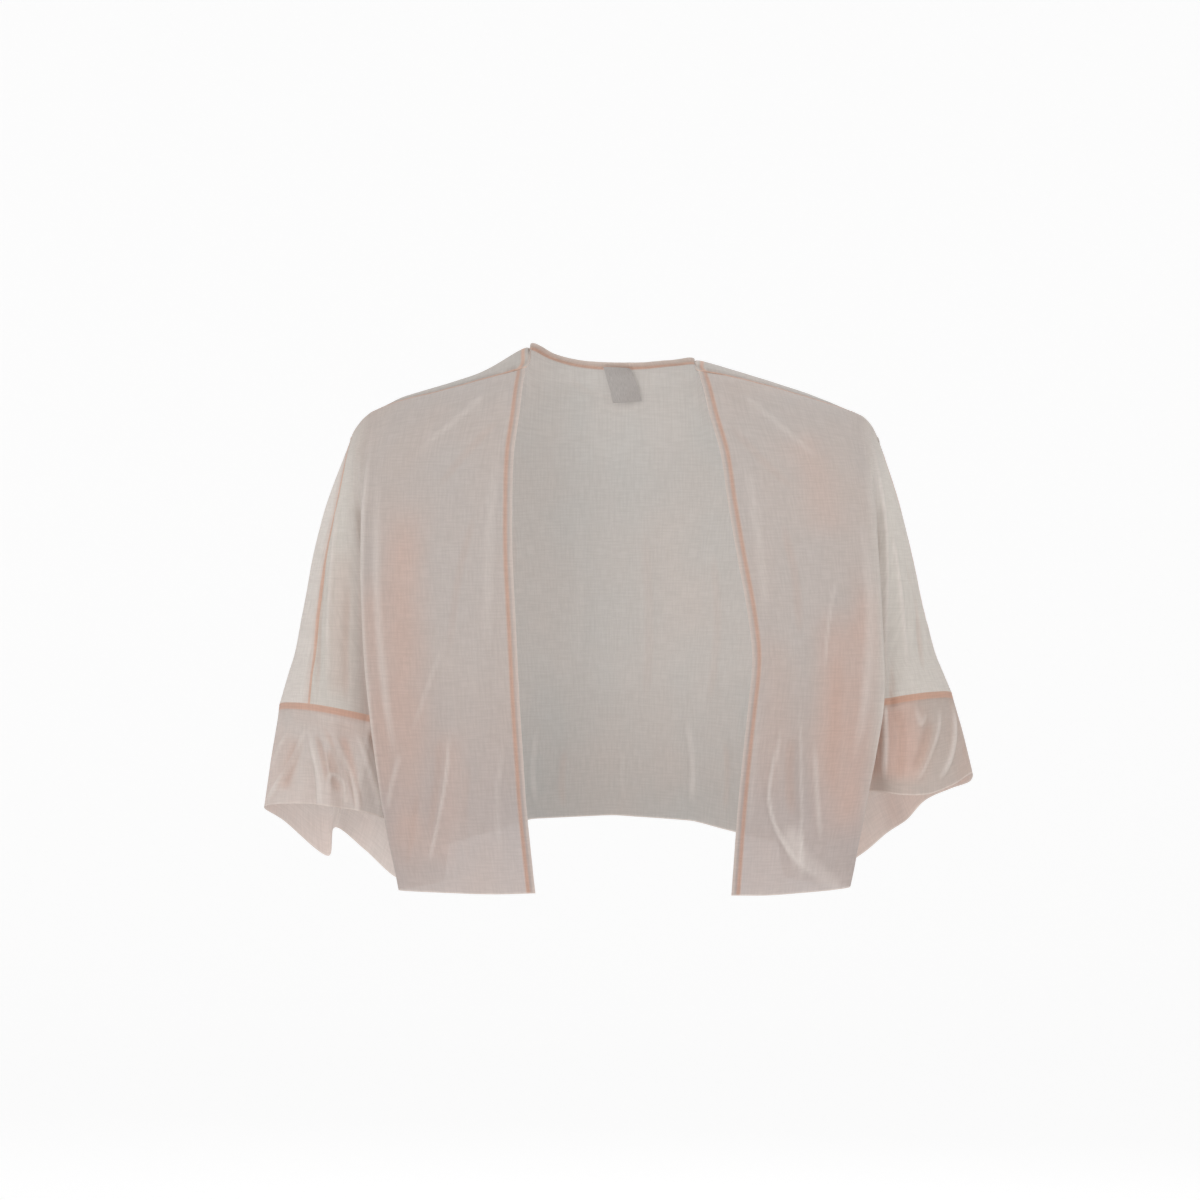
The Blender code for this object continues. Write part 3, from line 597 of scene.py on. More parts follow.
# %% Weld the fronts and the back
jacket = Net()
loose_numbers = {}
for side in ("right", "left"):
    for name, grid in halves[side][1].items():
        loose_numbers[side, "front", name] = jacket.add("front_" + side, grid, side == "right")
    for name, grid in halves[side][-1].items():
        loose_numbers[side, "back", name] = jacket.add("back", grid, side == "left")
jacket.weld()
on_net = {key: jacket.number[numbers] for key, numbers in loose_numbers.items()}
in_front = np.zeros(len(jacket.points), bool)
in_front[jacket.squares[jacket.names != "back"]] = True
print("points in the net:", len(jacket.points), "squares:", len(jacket.squares))

# %% [markdown]
# ## The lines of sewing
# Five lines matter on this jacket: the free edge of each front, the back of the neck, the long seam that
# runs over the shoulder and down the sleeve, the hem, and the cuff seam. Each is read off the net as a
# row of points. Distances from a line are measured while the cloth is still smooth.

# %% Lines of sewing and distances from them
def evenly(line, start, end, spacing):
    """Evenly spaced points along a line, from so far after its start to so far before its end."""
    line = np.asarray(line, float)
    along = np.concatenate([[0], np.cumsum(np.linalg.norm(np.diff(line, axis=0), axis=1))])
    count = max(2, int((along[-1] - start - end) / spacing) + 1)
    cuts = np.linspace(start, along[-1] - end, count + 1)
    return np.stack([np.interp(cuts, along, line[:, k]) for k in range(3)], axis=1)


def distance_from(points, line):
    """How far each point lies from a line, but never more than FAR."""
    fine = evenly(line, 0, 0, 1.0)
    tree = KDTree(len(fine))
    for i, place in enumerate(fine):
        tree.insert(place, i)
    tree.balance()
    return np.minimum([tree.find(p)[2] for p in points], FAR)


neck_end = NECK_STATIONS * ACROSS
sewing_lines = {}
hem_lines = []
for side in ("right", "left"):
    top, low, arm = (on_net[side, "back", name] for name in ("top", "low", "arm"))
    front_top, front_low = on_net[side, "front", "top"], on_net[side, "front", "low"]
    sewing_lines["edge", side] = np.concatenate([front_top[:, 0], front_low[1:, 0]])
    sewing_lines["seam", side] = np.concatenate([top[0, neck_end:], top[1:, -1], arm[1:, -1]])
    hem_lines += [front_low[-1], low[-1]]
neck_rows = [on_net[side, "back", "top"][0, : neck_end + 1] for side in ("right", "left")]
sewing_lines["edge", "neck"] = np.concatenate([neck_rows[0][::-1], neck_rows[1][1:]])

for (mark, where), numbers in sewing_lines.items():
    own = in_front if where != "neck" and mark == "edge" else ~in_front
    own = own | np.isin(np.arange(len(jacket.points)), numbers)
    distance = distance_from(jacket.points[own], jacket.points[numbers])
    jacket.marks[mark][own] = np.minimum(jacket.marks[mark][own], distance)
for numbers in hem_lines:
    distance = distance_from(jacket.points, jacket.points[numbers])
    jacket.marks["hem"] = np.minimum(jacket.marks["hem"], distance)
print("lines of sewing:", len(sewing_lines), "and", len(hem_lines), "lengths of hem")

# %% [markdown]
# ## Creases, one by one
# Organza is crisp: it doesn't drape in round folds but breaks into long thin ridges and shallow troughs.
# Each crease is a line drawn on the jacket as it is seen from the front or from behind, with the height
# that it lifts the cloth (or sinks it, when it is negative) and its half width. It fades at both ends.
# A cloth simulation would find its own folds, so drawing them keeps them where they are on the jacket.

# %% What a crease does to the cloth
FADE = 0.3  # share of a stroke's length over which it fades at each end
STROKE_STEPS = 8


def drawn(places, strokes, fade=FADE):
    """How strong a list of drawn strokes is at each place (x, z)."""
    total = np.zeros(len(places))
    for strength, half_width, points in strokes:
        line = through(points, STROKE_STEPS)
        low, high = line.min(axis=0) - half_width, line.max(axis=0) + half_width
        near = np.nonzero(((places > low) & (places < high)).all(axis=1))[0]
        if not len(near):
            continue
        start, step = line[:-1], np.diff(line, axis=0)
        share = ((places[near, None] - start) * step).sum(axis=2) / (step**2).sum(axis=1)
        share = np.clip(share, 0, 1)
        apart = np.linalg.norm(places[near, None] - (start + share[..., None] * step), axis=2)
        nearest = apart.argmin(axis=1)
        pick = (np.arange(len(near)), nearest)
        along = (nearest + share[pick]) / len(step)
        profile = np.clip(1 - (apart[pick] / half_width) ** 2, 0, 1) ** 2
        ends = np.clip(np.minimum(along, 1 - along) / fade, 0, 1)
        total[near] += strength * profile * ends**2 * (3 - 2 * ends)
    return total


halfway = drawn(np.zeros((1, 2)), [(1.0, 5, [(0, -20), (0, 20)])])[0]
print("halfway along, a stroke has", halfway, "of its strength")

# %% The creases of the fronts and the back
FRONT_CREASES = [
    # The long ridge of each front's drape fold, with the trough outside it
    (
        2.0,
        4,
        [(-222, -30), (-226, -90), (-229, -150), (-228, -239), (-219, -342), (-206, -440), (-197, -484)],
    ),
    (-2.6, 5, [(-226, -330), (-215, -400), (-204, -470)]),
    (1.2, 7, [(-214, -90), (-215, -200), (-207, -300), (-193, -390)]),
    (2.0, 4, [(238, -50), (247, -100), (254, -160), (252, -240), (249, -310), (236, -390), (218, -486)]),
    (-2.6, 5, [(258, -250), (256, -330), (243, -405), (227, -474)]),
    (1.3, 8, [(226, -110), (234, -210), (230, -300), (214, -400)]),
    # Vertical folds on the fronts of the sleeves
    (2.2, 4, [(-252, -110), (-258, -170), (-262, -240), (-262, -330)]),
    (-1.8, 5, [(-266, -150), (-272, -240), (-272, -326)]),
    (1.5, 4, [(-276, -160), (-283, -250), (-286, -328)]),
    (-1.6, 6, [(-243, -190), (-246, -260), (-244, -332)]),
    (2.0, 4, [(258, -140), (268, -220), (274, -308)]),
    (-1.8, 5, [(273, -160), (284, -230), (290, -302)]),
    (1.7, 4, [(284, -150), (298, -225), (306, -296)]),
    (1.2, 4, [(268, -120), (279, -190), (284, -260)]),
    # Soft breaks at the underarm and the foot of the right front
    (1.7, 4, [(-148, -322), (-150, -372), (-160, -428), (-170, -474)]),
    (-1.4, 7, [(-156, -330), (-160, -390), (-168, -450)]),
    (1.2, 5, [(-190, -352), (-200, -385), (-206, -420)]),
    (-1.2, 6, [(-176, -380), (-182, -430), (-190, -474)]),
    (1.0, 5, [(-150, -250), (-168, -300), (-186, -352)]),
    (-1.1, 8, [(-120, -120), (-140, -200), (-150, -290)]),
    (0.9, 10, [(-104, -60), (-112, -170), (-112, -300)]),
    (0.8, 6, [(-96, -330), (-104, -400), (-100, -474)]),
    (-0.9, 8, [(-128, -350), (-134, -410), (-130, -480)]),
    # The left front turns over at its foot, along a bent line that ends at the corner
    (1.9, 3.5, [(156, -312), (149, -353), (142, -390), (144, -414), (154, -438), (168, -457), (206, -484)]),
    (1.3, 3.5, [(169, -300), (171, -385), (172, -490)]),
    (-2.4, 9, [(162, -330), (160, -380), (163, -430)]),
    (-1.5, 12, [(201, -250), (204, -312), (200, -366), (206, -424)]),
    (1.4, 5, [(182, -330), (186, -400), (190, -450)]),
    (1.4, 4, [(206, -190), (196, -240), (192, -300)]),
    (-1.3, 8, [(150, -130), (166, -200), (170, -270)]),
    (1.0, 9, [(118, -70), (132, -160), (140, -260)]),
    (0.9, 6, [(134, -290), (128, -370), (122, -454)]),
    # Soft breaks below the shoulder seams
    (1.0, 6, [(-110, -20), (-140, -50), (-190, -92)]),
    (-1.0, 8, [(-95, -45), (-130, -80), (-170, -130)]),
    (1.0, 6, [(112, -22), (150, -55), (200, -100)]),
    (-1.0, 8, [(100, -50), (134, -88), (180, -132)]),
]
BACK_CREASES = [
    # The rear folds, from the shoulder blades down
    (2.2, 5, [(-216, -80), (-226, -180), (-214, -280), (-196, -380), (-188, -458)]),
    (-2.4, 6, [(-206, -190), (-200, -280), (-184, -370), (-174, -448)]),
    (2.0, 5, [(218, -80), (229, -170), (219, -270), (204, -370), (194, -454)]),
    (-2.2, 6, [(211, -200), (206, -290), (190, -380), (180, -446)]),
    (0.9, 10, [(-140, -70), (-150, -180), (-140, -300)]),
    (0.8, 11, [(130, -60), (148, -170), (146, -290)]),
    (-1.2, 9, [(-92, -120), (-100, -230), (-92, -340)]),
    (-1.0, 9, [(96, -140), (102, -250), (90, -350)]),
    (0.5, 14, [(-36, -90), (-30, -200), (-38, -330)]),
    (-0.9, 11, [(28, -110), (36, -240), (30, -360)]),
    # Breaks that rise from the hem
    (0.9, 6, [(-70, -330), (-76, -380), (-72, -432)]),
    (-1.2, 7, [(-44, -350), (-48, -395), (-46, -430)]),
    (0.6, 6, [(12, -346), (10, -390), (14, -429)]),
    (1.0, 6, [(70, -320), (78, -380), (76, -432)]),
    (-1.2, 6, [(108, -340), (112, -390), (108, -436)]),
    (-1.2, 6, [(-116, -340), (-120, -392), (-114, -438)]),
    (0.7, 5, [(-160, -300), (-140, -330), (-112, -350)]),
    (0.6, 5, [(164, -290), (142, -322), (118, -340)]),
    # The rear of the sleeves
    (2.2, 4, [(-250, -120), (-262, -200), (-262, -322)]),
    (-1.9, 6, [(-270, -150), (-282, -230), (-284, -322)]),
    (2.0, 4, [(256, -130), (270, -210), (276, -308)]),
    (-1.8, 6, [(278, -150), (292, -230), (298, -302)]),
    (1.5, 4, [(-238, -200), (-240, -270), (-246, -334)]),
    (1.4, 4, [(242, -190), (250, -260), (254, -322)]),
    # Soft breaks under the shoulder seams and below the neck
    (0.7, 8, [(-84, 0), (-120, -34), (-170, -74)]),
    (0.7, 8, [(86, -4), (122, -38), (172, -78)]),
    (-0.8, 9, [(-50, 0), (-20, -22), (14, -30)]),
    (0.8, 8, [(-30, -20), (6, -36), (44, -30)]),
]
print("creases:", len(FRONT_CREASES), "on the fronts,", len(BACK_CREASES), "on the back")

# %% [markdown]
# ## Where the cloth lies in more layers
# Beside the drape folds the cloth doubles back on itself, and there a blush cloth looks warmer. These are
# broad soft strokes, drawn like the creases, which tint the cloth and don't lift it. The sleeves and the
# tops of the shoulders get painted light, and the lower back is left darker as painted shade.

# %% Warm strokes and bright places
FRONT_WARM = [
    (0.9, 34, [(-190, -110), (-192, -200), (-190, -300), (-188, -400), (-190, -480)]),
    (0.5, 16, [(-222, -180), (-218, -300), (-206, -420)]),
    (0.6, 22, [(-150, -330), (-148, -400), (-160, -470)]),
    (0.4, 16, [(-250, -160), (-252, -250), (-250, -320)]),
    (1.0, 30, [(204, -215), (206, -290), (202, -370), (206, -450)]),
    (0.6, 20, [(228, -180), (232, -270), (226, -360), (216, -450)]),
    (0.3, 26, [(140, -240), (146, -320), (132, -420)]),
    (0.4, 30, [(168, -60), (186, -110), (200, -170)]),
]
BACK_WARM = [
    (0.7, 26, [(-196, -120), (-200, -230), (-184, -340), (-176, -440)]),
    (0.7, 26, [(200, -120), (204, -230), (190, -340), (182, -440)]),
]
# Painted highlights: pale strokes on the turned-over foot of the left front and along the drape folds of
# both fronts
FRONT_HIGHLIGHTS = [
    (0.45, 15, [(156, -420), (172, -450), (196, -474), (212, -484)]),
    (0.28, 12, [(162, -310), (156, -390), (164, -440), (172, -488)]),
    (0.2, 9, [(-214, -40), (-218, -140), (-214, -260), (-200, -380)]),
    (0.25, 9, [(232, -70), (242, -160), (240, -260), (226, -380)]),
]
# Where the painted light starts, and where it is full: x on the sleeves, else z
PAINTED_LIGHT_SPAN = dict(right=(-216.0, -250.0), left=(222.0, 256.0), crest=(-50.0, -10.0), back=(-410.0, -280.0))
CREST_SHARE = 0.35  # how bright the tops of the shoulders are, next to the sleeves
BACK_SHARE = 0.3
TINT_FADE = 0.2
TURNS_AWAY = (0.1, 0.55)  # how squarely the cloth faces the viewer where a stroke starts, and is whole


def rising(values, start, end):
    return np.clip((values - start) / (end - start), 0, 1)


def on_both(net, front_strokes, back_strokes, is_front, fade=FADE):
    """How strong the strokes are on each point. They fade where the cloth turns away from their view."""
    places = net.points[:, [0, 2]]
    rearward = net.directions()[:, 1]
    front = drawn(places, front_strokes, fade) * rising(-rearward, *TURNS_AWAY)
    back = drawn(places, back_strokes, fade) * rising(rearward, *TURNS_AWAY)
    return np.where(is_front, front, back)


def painted_light_places(points):
    """Painted light: from 0 in the painted shade of the lower back to 1 on the sleeves and the tops of the
    shoulders.
    """
    x, y, z = points.T
    sleeves = rising(x, *PAINTED_LIGHT_SPAN["right"]), rising(x, *PAINTED_LIGHT_SPAN["left"])
    crest = CREST_SHARE * rising(z, *PAINTED_LIGHT_SPAN["crest"])
    return np.max([*sleeves, crest, BACK_SHARE * rising(z, *PAINTED_LIGHT_SPAN["back"])], axis=0)


jacket.marks["warm"] = on_both(jacket, FRONT_WARM, BACK_WARM, in_front, TINT_FADE)
# The fold mark starts from the painted highlights of the fronts
jacket.marks["fold"] = on_both(jacket, FRONT_HIGHLIGHTS, [], in_front, TINT_FADE)
jacket.marks["bright"] = painted_light_places(jacket.points)
most_warm, most_bright = (round(jacket.marks[mark].max(), 2) for mark in ("warm", "bright"))
print("warmest", most_warm, "and brightest", most_bright)

# %% [markdown]
# ## Crinkle
# Between its creases thin cloth is never quite smooth. It swells a little over the width of a hand, and
# has a fine crinkle along every seam, because the thread draws the cloth in. Both come from a noise
# pattern that is always the same, so that the jacket looks alike each time it is made.

# %% Swell and crinkle
# Height and size of each unevenness, and how much longer it is down the cloth than across
SWELL, SWELL_SIZE, SWELL_STRETCH = 1.2, 85.0, 1.7
RIPPLE, RIPPLE_SIZE, RIPPLE_STRETCH = 0.35, 17.0, 2.2
PUCKER, PUCKER_SIZE = 0.3, 6.0
PUCKER_REACH = 12.0  # how far from a seam the cloth puckers
JACKET_SEED = 3.0
SHARP_FOLD = 2.2  # a crease this high gets the full painted highlight on its ridge, and one this deep the full painted shade in its trough
WALL_MIDDLE = 0.6  # the thin sheet lies in the middle of the fixed model's wall


def unevenness(net, seed):
    """Small smooth lifts and dips over the cloth, with a finer pucker beside every seam."""
    sewn = np.min([net.marks["edge"], net.marks["seam"]], axis=0)
    beside = np.clip(1 - sewn / PUCKER_REACH, 0, 1)
    found = []
    for (x, y, z), near in zip(net.points, beside):
        swell_z, ripple_z = z / (SWELL_STRETCH * SWELL_SIZE), z / (RIPPLE_STRETCH * RIPPLE_SIZE)
        broad = noise.noise(Vector((x / SWELL_SIZE + seed, y / SWELL_SIZE, swell_z)))
        fine = noise.noise(Vector((x / RIPPLE_SIZE, y / RIPPLE_SIZE + seed, ripple_z)))
        lift = SWELL * broad + RIPPLE * fine
        if near > 0:
            lift += PUCKER * near * noise.noise(Vector((x, y, z)) / PUCKER_SIZE)
        found.append(lift)
    return np.array(found)


def crease(net, front_creases, back_creases, is_front, seed):
    """Moves a net's points along the way that they face, by its creases and its unevenness."""
    fold = on_both(net, front_creases, back_creases, is_front)
    # The fold mark paints light in the finish: a painted highlight on ridges and a painted shade in troughs
    net.marks["fold"] = np.clip(net.marks["fold"] + fold / SHARP_FOLD, -1, 1)
    lift = unevenness(net, seed) + fold
    net.points = net.points + net.directions() * lift[:, None]
    return np.abs(lift).max()


most = crease(jacket, FRONT_CREASES, BACK_CREASES, in_front, JACKET_SEED)
jacket.points = jacket.points - jacket.directions() * WALL_MIDDLE
print("the cloth is lifted or sunk by up to", round(most, 1), "mm")

# %% [markdown]
# ## The cuffs
# A deep cuff is sewn to the end of each sleeve. It is a separate piece, a wide ring that is left to fall
# as it likes, so its lower edge folds back on itself in a few large waves. Its upper edge is taken from
# the sleeve's own last line of points, so that the seam is closed. Between the seam and the hem the ring
# is first a straight blend, and then the folds are laid in as creases.

# %% Folds of the cuffs
CUFF_FRONT_CREASES = {
    "right": [
        (2.6, 4.5, [(-280, -332), (-290, -355), (-302, -377), (-318, -402), (-326, -414)]),
        (-2.4, 9, [(-288, -344), (-298, -372), (-306, -402)]),
        (2.8, 4.5, [(-280, -334), (-275, -358), (-270, -378), (-268, -404), (-269, -418)]),
        (-2.4, 6, [(-275, -338), (-267, -366), (-262, -392)]),
        (2.6, 4.5, [(-260, -336), (-250, -360), (-240, -382), (-234, -404), (-233, -428)]),
        (-3.0, 7, [(-262, -352), (-255, -378), (-250, -402)]),
        (2.6, 4, [(-262, -388), (-256, -380), (-249, -386), (-246, -400), (-246, -418)]),
        (-2.0, 5, [(-272, -329), (-260, -346), (-250, -362), (-243, -380), (-237, -420)]),
        (1.9, 4.5, [(-238, -332), (-226, -366), (-216, -400), (-212, -432)]),
        (-2.6, 5, [(-226, -332), (-213, -370), (-202, -412)]),
        (1.6, 3.5, [(-298, -338), (-312, -362), (-320, -388)]),
        (1.6, 4, [(-214, -336), (-200, -372), (-190, -420)]),
    ],
    "left": [
        (3.0, 4.5, [(249, -302), (251, -345), (250, -394)]),
        (-2.8, 6, [(240, -310), (242, -350), (240, -396)]),
        (-2.4, 8, [(262, -316), (266, -350), (262, -396)]),
        (1.4, 5, [(278, -312), (284, -334), (290, -322)]),
        (1.8, 4, [(304, -312), (300, -342), (288, -372), (276, -394)]),
        (-2.8, 8, [(296, -326), (288, -356), (276, -384)]),
        (2.6, 4, [(316, -306), (318, -340), (312, -368), (298, -392)]),
        (-2.2, 6, [(326, -312), (331, -346), (328, -374)]),
        (2.0, 4, [(232, -322), (228, -360), (222, -404)]),
        (-2.4, 6, [(222, -326), (216, -370), (208, -426)]),
        (1.8, 4, [(210, -330), (206, -380), (198, -436)]),
    ],
}
CUFF_BACK_CREASES = {
    "right": [
        (2.2, 4, [(-298, -338), (-308, -372), (-312, -396)]),
        (-2.8, 8, [(-286, -340), (-290, -376), (-286, -402)]),
        (3.0, 5, [(-272, -338), (-264, -372), (-262, -410), (-268, -446)]),
        (-2.0, 6, [(-256, -342), (-248, -362), (-246, -380)]),
        (1.6, 4, [(-240, -362), (-228, -396), (-226, -444)]),
        (-2.4, 9, [(-216, -346), (-208, -392), (-206, -436)]),
    ],
    "left": [
        (2.4, 5, [(314, -312), (322, -346), (318, -378)]),
        (-2.8, 9, [(298, -318), (306, -344), (304, -372)]),
        (1.8, 4, [(284, -326), (278, -356), (282, -384)]),
        (-2.2, 6, [(268, -320), (264, -350), (266, -412)]),
        (2.8, 5, [(248, -324), (244, -372), (236, -420), (234, -452)]),
        (-2.0, 8, [(226, -334), (216, -372), (212, -410)]),
    ],
}
CUFF_WARM = {
    "right": [
        (0.5, 14, [(-292, -342), (-300, -372), (-306, -400)]),
        (0.9, 6, [(-250, -342), (-240, -370), (-232, -420)]),
        (0.9, 9, [(-216, -340), (-204, -372), (-196, -416)]),
    ],
    "left": [
        (1.3, 34, [(250, -312), (266, -350), (262, -392)]),
        (1.2, 24, [(228, -320), (226, -370), (216, -440)]),
        (0.8, 26, [(236, -412), (262, -420), (290, -408)]),
    ],
}
CUFF_BACK_WARM = dict(right=0.2, left=0.8)
cuff_folds = [*CUFF_FRONT_CREASES.values(), *CUFF_BACK_CREASES.values()]
print("folds on the cuffs:", sum(len(folds) for folds in cuff_folds))

# %% Cuffs, from the sleeve's last line down to the hem
CUFF_ROWS = 56
CUFF_FINER = 2  # the cuff has so many points for each one of the sleeve's last line
CUFF_EASE = 7  # rows below the seam over which the folds come in
CUFF_BULGE = 0.012  # share by which a cuff stands out at half its depth
CUFF_SEED = 11.0

cuffs, cuff_tops = {}, {}
for side, sign in (("right", -1), ("left", 1)):
    front, back = (jacket.points[on_net[side, face, "arm"][-1]] for face in ("front", "back"))
    sleeve_end = np.concatenate([front, back[-2::-1]])
    spots = np.arange((len(sleeve_end) - 1) * CUFF_FINER + 1) / CUFF_FINER
    head = np.stack([np.interp(spots, range(len(sleeve_end)), sleeve_end[:, k]) for k in range(3)], axis=1)
    hem = np.stack([CUFF_HEM[side][name] for name in "xyz"], axis=1) * (sign, 1, 1)
    foot = through([*hem, hem[0]], (len(head) - 1) // len(hem), before=hem[-1], after=hem[1])
    share = np.linspace(0, 1, CUFF_ROWS + 1)[:, None, None]
    grid = head + (foot - head) * share
    grid += (grid - grid.mean(axis=1, keepdims=True)) * CUFF_BULGE * np.sin(math.pi * share)
    cuff = Net()
    numbers = cuff.add("cuff_" + side, grid, side == "right")
    cuff.weld()
    numbers = cuff.number[numbers]
    cuff.marks["seam"] = distance_from(cuff.points, head)
    cuff.marks["hem"] = distance_from(cuff.points, foot)
    rearward = cuff.directions()[:, 1]
    is_front = rearward < 0
    cuff.marks["warm"] = on_both(cuff, CUFF_WARM[side], [], is_front, TINT_FADE)
    cuff.marks["warm"] += CUFF_BACK_WARM[side] * rising(rearward, *TURNS_AWAY)
    smooth = cuff.points.copy()
    crease(cuff, CUFF_FRONT_CREASES[side], CUFF_BACK_CREASES[side], is_front, CUFF_SEED * sign)
    ease = np.zeros(len(cuff.points))
    ease[numbers] = np.clip(np.arange(CUFF_ROWS + 1) / CUFF_EASE, 0, 1)[:, None]
    cuff.points = smooth + (cuff.points - smooth) * ease[:, None]
    cuff.marks["fold"] = cuff.marks["fold"] * ease
    cuffs[side] = cuff
    cuff_tops[side] = numbers[:2]
    print("cuff", side, "has", len(cuff.points), "points")

# %% [markdown]
# ## From a net to a Blender object
# Each piece of cloth becomes a mesh of its own: its squares of the net, with a UV map that follows the
# threads. On the map 1 unit is 100 mm of cloth, so the weave keeps its scale on every piece. Then the
# piece is hung from the root, and the solids of the fixed model that it stands for are hidden.

# %% Making a piece
MM = 0.001  # the nets are in millimetres and the scene is in metres
pieces = {}
EVERY = slice(None)


def add_piece(name, mesh, nodes):
    """An object for a mesh, hung from the root, with the parts of the fixed model that it stands for hidden.
    """
    piece = bpy.data.objects.new(name, mesh)
    bpy.context.scene.collection.objects.link(piece)
    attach(piece, "root")
    if nodes:
        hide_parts(*nodes)
    pieces[name] = piece
    return piece


def make_cloth(name, net, own, nodes):
    """One piece of cloth from its own squares of a net."""
    squares = net.squares[own]
    used, index = np.unique(squares, return_inverse=True)
    mesh = bpy.data.meshes.new(name)
    mesh.from_pydata((net.points[used] * MM).tolist(), [], index.reshape(squares.shape).tolist())
    layer = mesh.uv_layers.new(name="threads")
    layer.data.foreach_set("uv", np.asarray(net.corner_weave[own], np.float32).reshape(-1))
    mesh.polygons.foreach_set("use_smooth", [True] * len(mesh.polygons))
    for mark, values in net.marks.items():
        mesh.attributes.new(mark, "FLOAT", "POINT").data.foreach_set("value", values[used])
    return add_piece(name, mesh, nodes)


def cloth_area(piece):
    """Area of a sheet in square metres."""
    return sum(face.area for face in piece.data.polygons)


for name in ("back", "front_left", "front_right"):
    make_cloth("cloth_" + name, jacket, jacket.names == name, [name])
for side, cuff in cuffs.items():
    make_cloth("cloth_cuff_" + side, cuff, EVERY, ["cuff_" + side])
for name, piece in pieces.items():
    print(name, len(piece.data.polygons), "squares,", round(cloth_area(piece), 4), "square metres")

# %% [markdown]
# ## Turned edges and seam allowances
# At the neck and down the fronts the edge is turned in and stitched. At each seam the two raw edges are
# pressed to one side. Both leave a strip where the light passes through more layers, which is why the
# seams of a sheer jacket look like drawn lines. Each strip is a piece of its own, a little inside the
# cloth. Its points are found on the cloth and moved in, so that it follows every crease.

# %% Laying a strip inside the cloth
NORMAL_REACH = 3.0  # the way the cloth faces is the mean over so many millimetres
LAY_IN = 0.7  # depth of a strip inside the cloth
EDGE_BAND = 8.0  # widths of a turned edge and of a seam allowance
SEAM_BAND = 9.0
STRIP_START = 0.2  # a strip starts so far inside its border
STRIP_STEP = 3.0
STRIP_COLUMNS = 8


def tree_of(net, own):
    return BVHTree.FromPolygons([Vector(p) for p in net.points], net.squares[own].tolist())


def on_cloth(tree, point, depth):
    """The nearest point of the cloth, moved in by a depth, or out where it is negative."""
    place = tree.find_nearest(Vector(point))[0]
    normal = sum((found[1] for found in tree.find_nearest_range(place, NORMAL_REACH)), Vector())
    return np.array(place - normal.normalized() * depth)


def across_border(tree, border):
    """For each point of a border, the direction that leads from it onto the cloth."""
    tangent = np.gradient(border, axis=0)
    ways = []
    for p, t in zip(border, tangent):
        way = tree.find_nearest(Vector(p))[1].cross(Vector(t)).normalized()
        off_cloth = [tree.find_nearest(Vector(p) + way * sign * EDGE_BAND)[3] for sign in (1, -1)]
        ways.append(np.array(way if off_cloth[0] < off_cloth[1] else -way))
    return np.array(ways)


def strip(name, tree, border, width, mark, node, ways=None):
    """A strip of cloth laid inside along a border. Its mark keeps how far each point is from the border."""
    ways = across_border(tree, border) if ways is None else ways
    steps = np.linspace(STRIP_START, width, STRIP_COLUMNS + 1)
    grid = [[on_cloth(tree, p + way * s, LAY_IN) for s in steps] for p, way in zip(border, ways)]
    grid = np.array(grid)
    net = Net()
    numbers = net.add(name, grid, False)
    net.weld()
    net.marks[mark][net.number[numbers]] = steps
    make_cloth(name, net, EVERY, [node])
    return grid


print("a turned edge is", EDGE_BAND, "mm wide and a seam allowance", SEAM_BAND, "mm")

# %% The strips
EDGE_END = 0.5  # a strip stops so far before the ends of its line
SEAM_END = 1.0
trees = {"back": tree_of(jacket, jacket.names == "back")}
strips = {}
for side, sign in (("right", -1), ("left", 1)):
    trees[side] = tree_of(jacket, jacket.names == "front_" + side)
    line = evenly(jacket.points[sewing_lines["edge", side]], EDGE_END, EDGE_END, STRIP_STEP)
    name = "turned_edge_" + side
    strips[name] = strip(name, trees[side], line, EDGE_BAND, "edge", "edge_band_" + side)

    on_side = jacket.points[jacket.squares][:, :, 0].mean(axis=1) * sign > 0
    side_back = tree_of(jacket, (jacket.names == "back") & on_side)
    line = evenly(jacket.points[sewing_lines["seam", side]], EDGE_BAND, SEAM_END, STRIP_STEP)
    name = "shoulder_allowance_" + side
    strips[name] = strip(name, side_back, line, SEAM_BAND, "seam", "shoulder_band_" + side)

    cuff = cuffs[side]
    head, below = (cuff.points[numbers] for numbers in cuff_tops[side])
    fall = (below - head) / np.linalg.norm(below - head, axis=1, keepdims=True)
    trees["cuff_" + side] = tree_of(cuff, EVERY)
    name = "cuff_allowance_" + side
    tree = trees["cuff_" + side]
    strips[name] = strip(name, tree, head, SEAM_BAND, "seam", "cuff_band_" + side, fall)

line = evenly(jacket.points[sewing_lines["edge", "neck"]], EDGE_END, EDGE_END, STRIP_STEP)
strips["turned_neck"] = strip("turned_neck", trees["back"], line, EDGE_BAND, "edge", "neck_band")
print("strips:", len(strips))

# %% [markdown]
# ## Stitches
# The turned edges and the seams are sewn with small even stitches of thread. Each stitch is a slim grain
# that lies on the cloth and sinks in at both ends. All the stitches of a line are one mesh, which keeps
# the scene light.

# %% Stitches along the strips
STITCH = 2.1
STITCH_GAP = 0.9
LINE_END = 1.5  # the first and the last stitch lie so far inside their line
THREAD = 0.16  # half the thread's width
THREAD_RISE = 0.15
THREAD_SIDES = 4
AROUND_THREAD = np.arange(THREAD_SIDES) * math.pi / 2


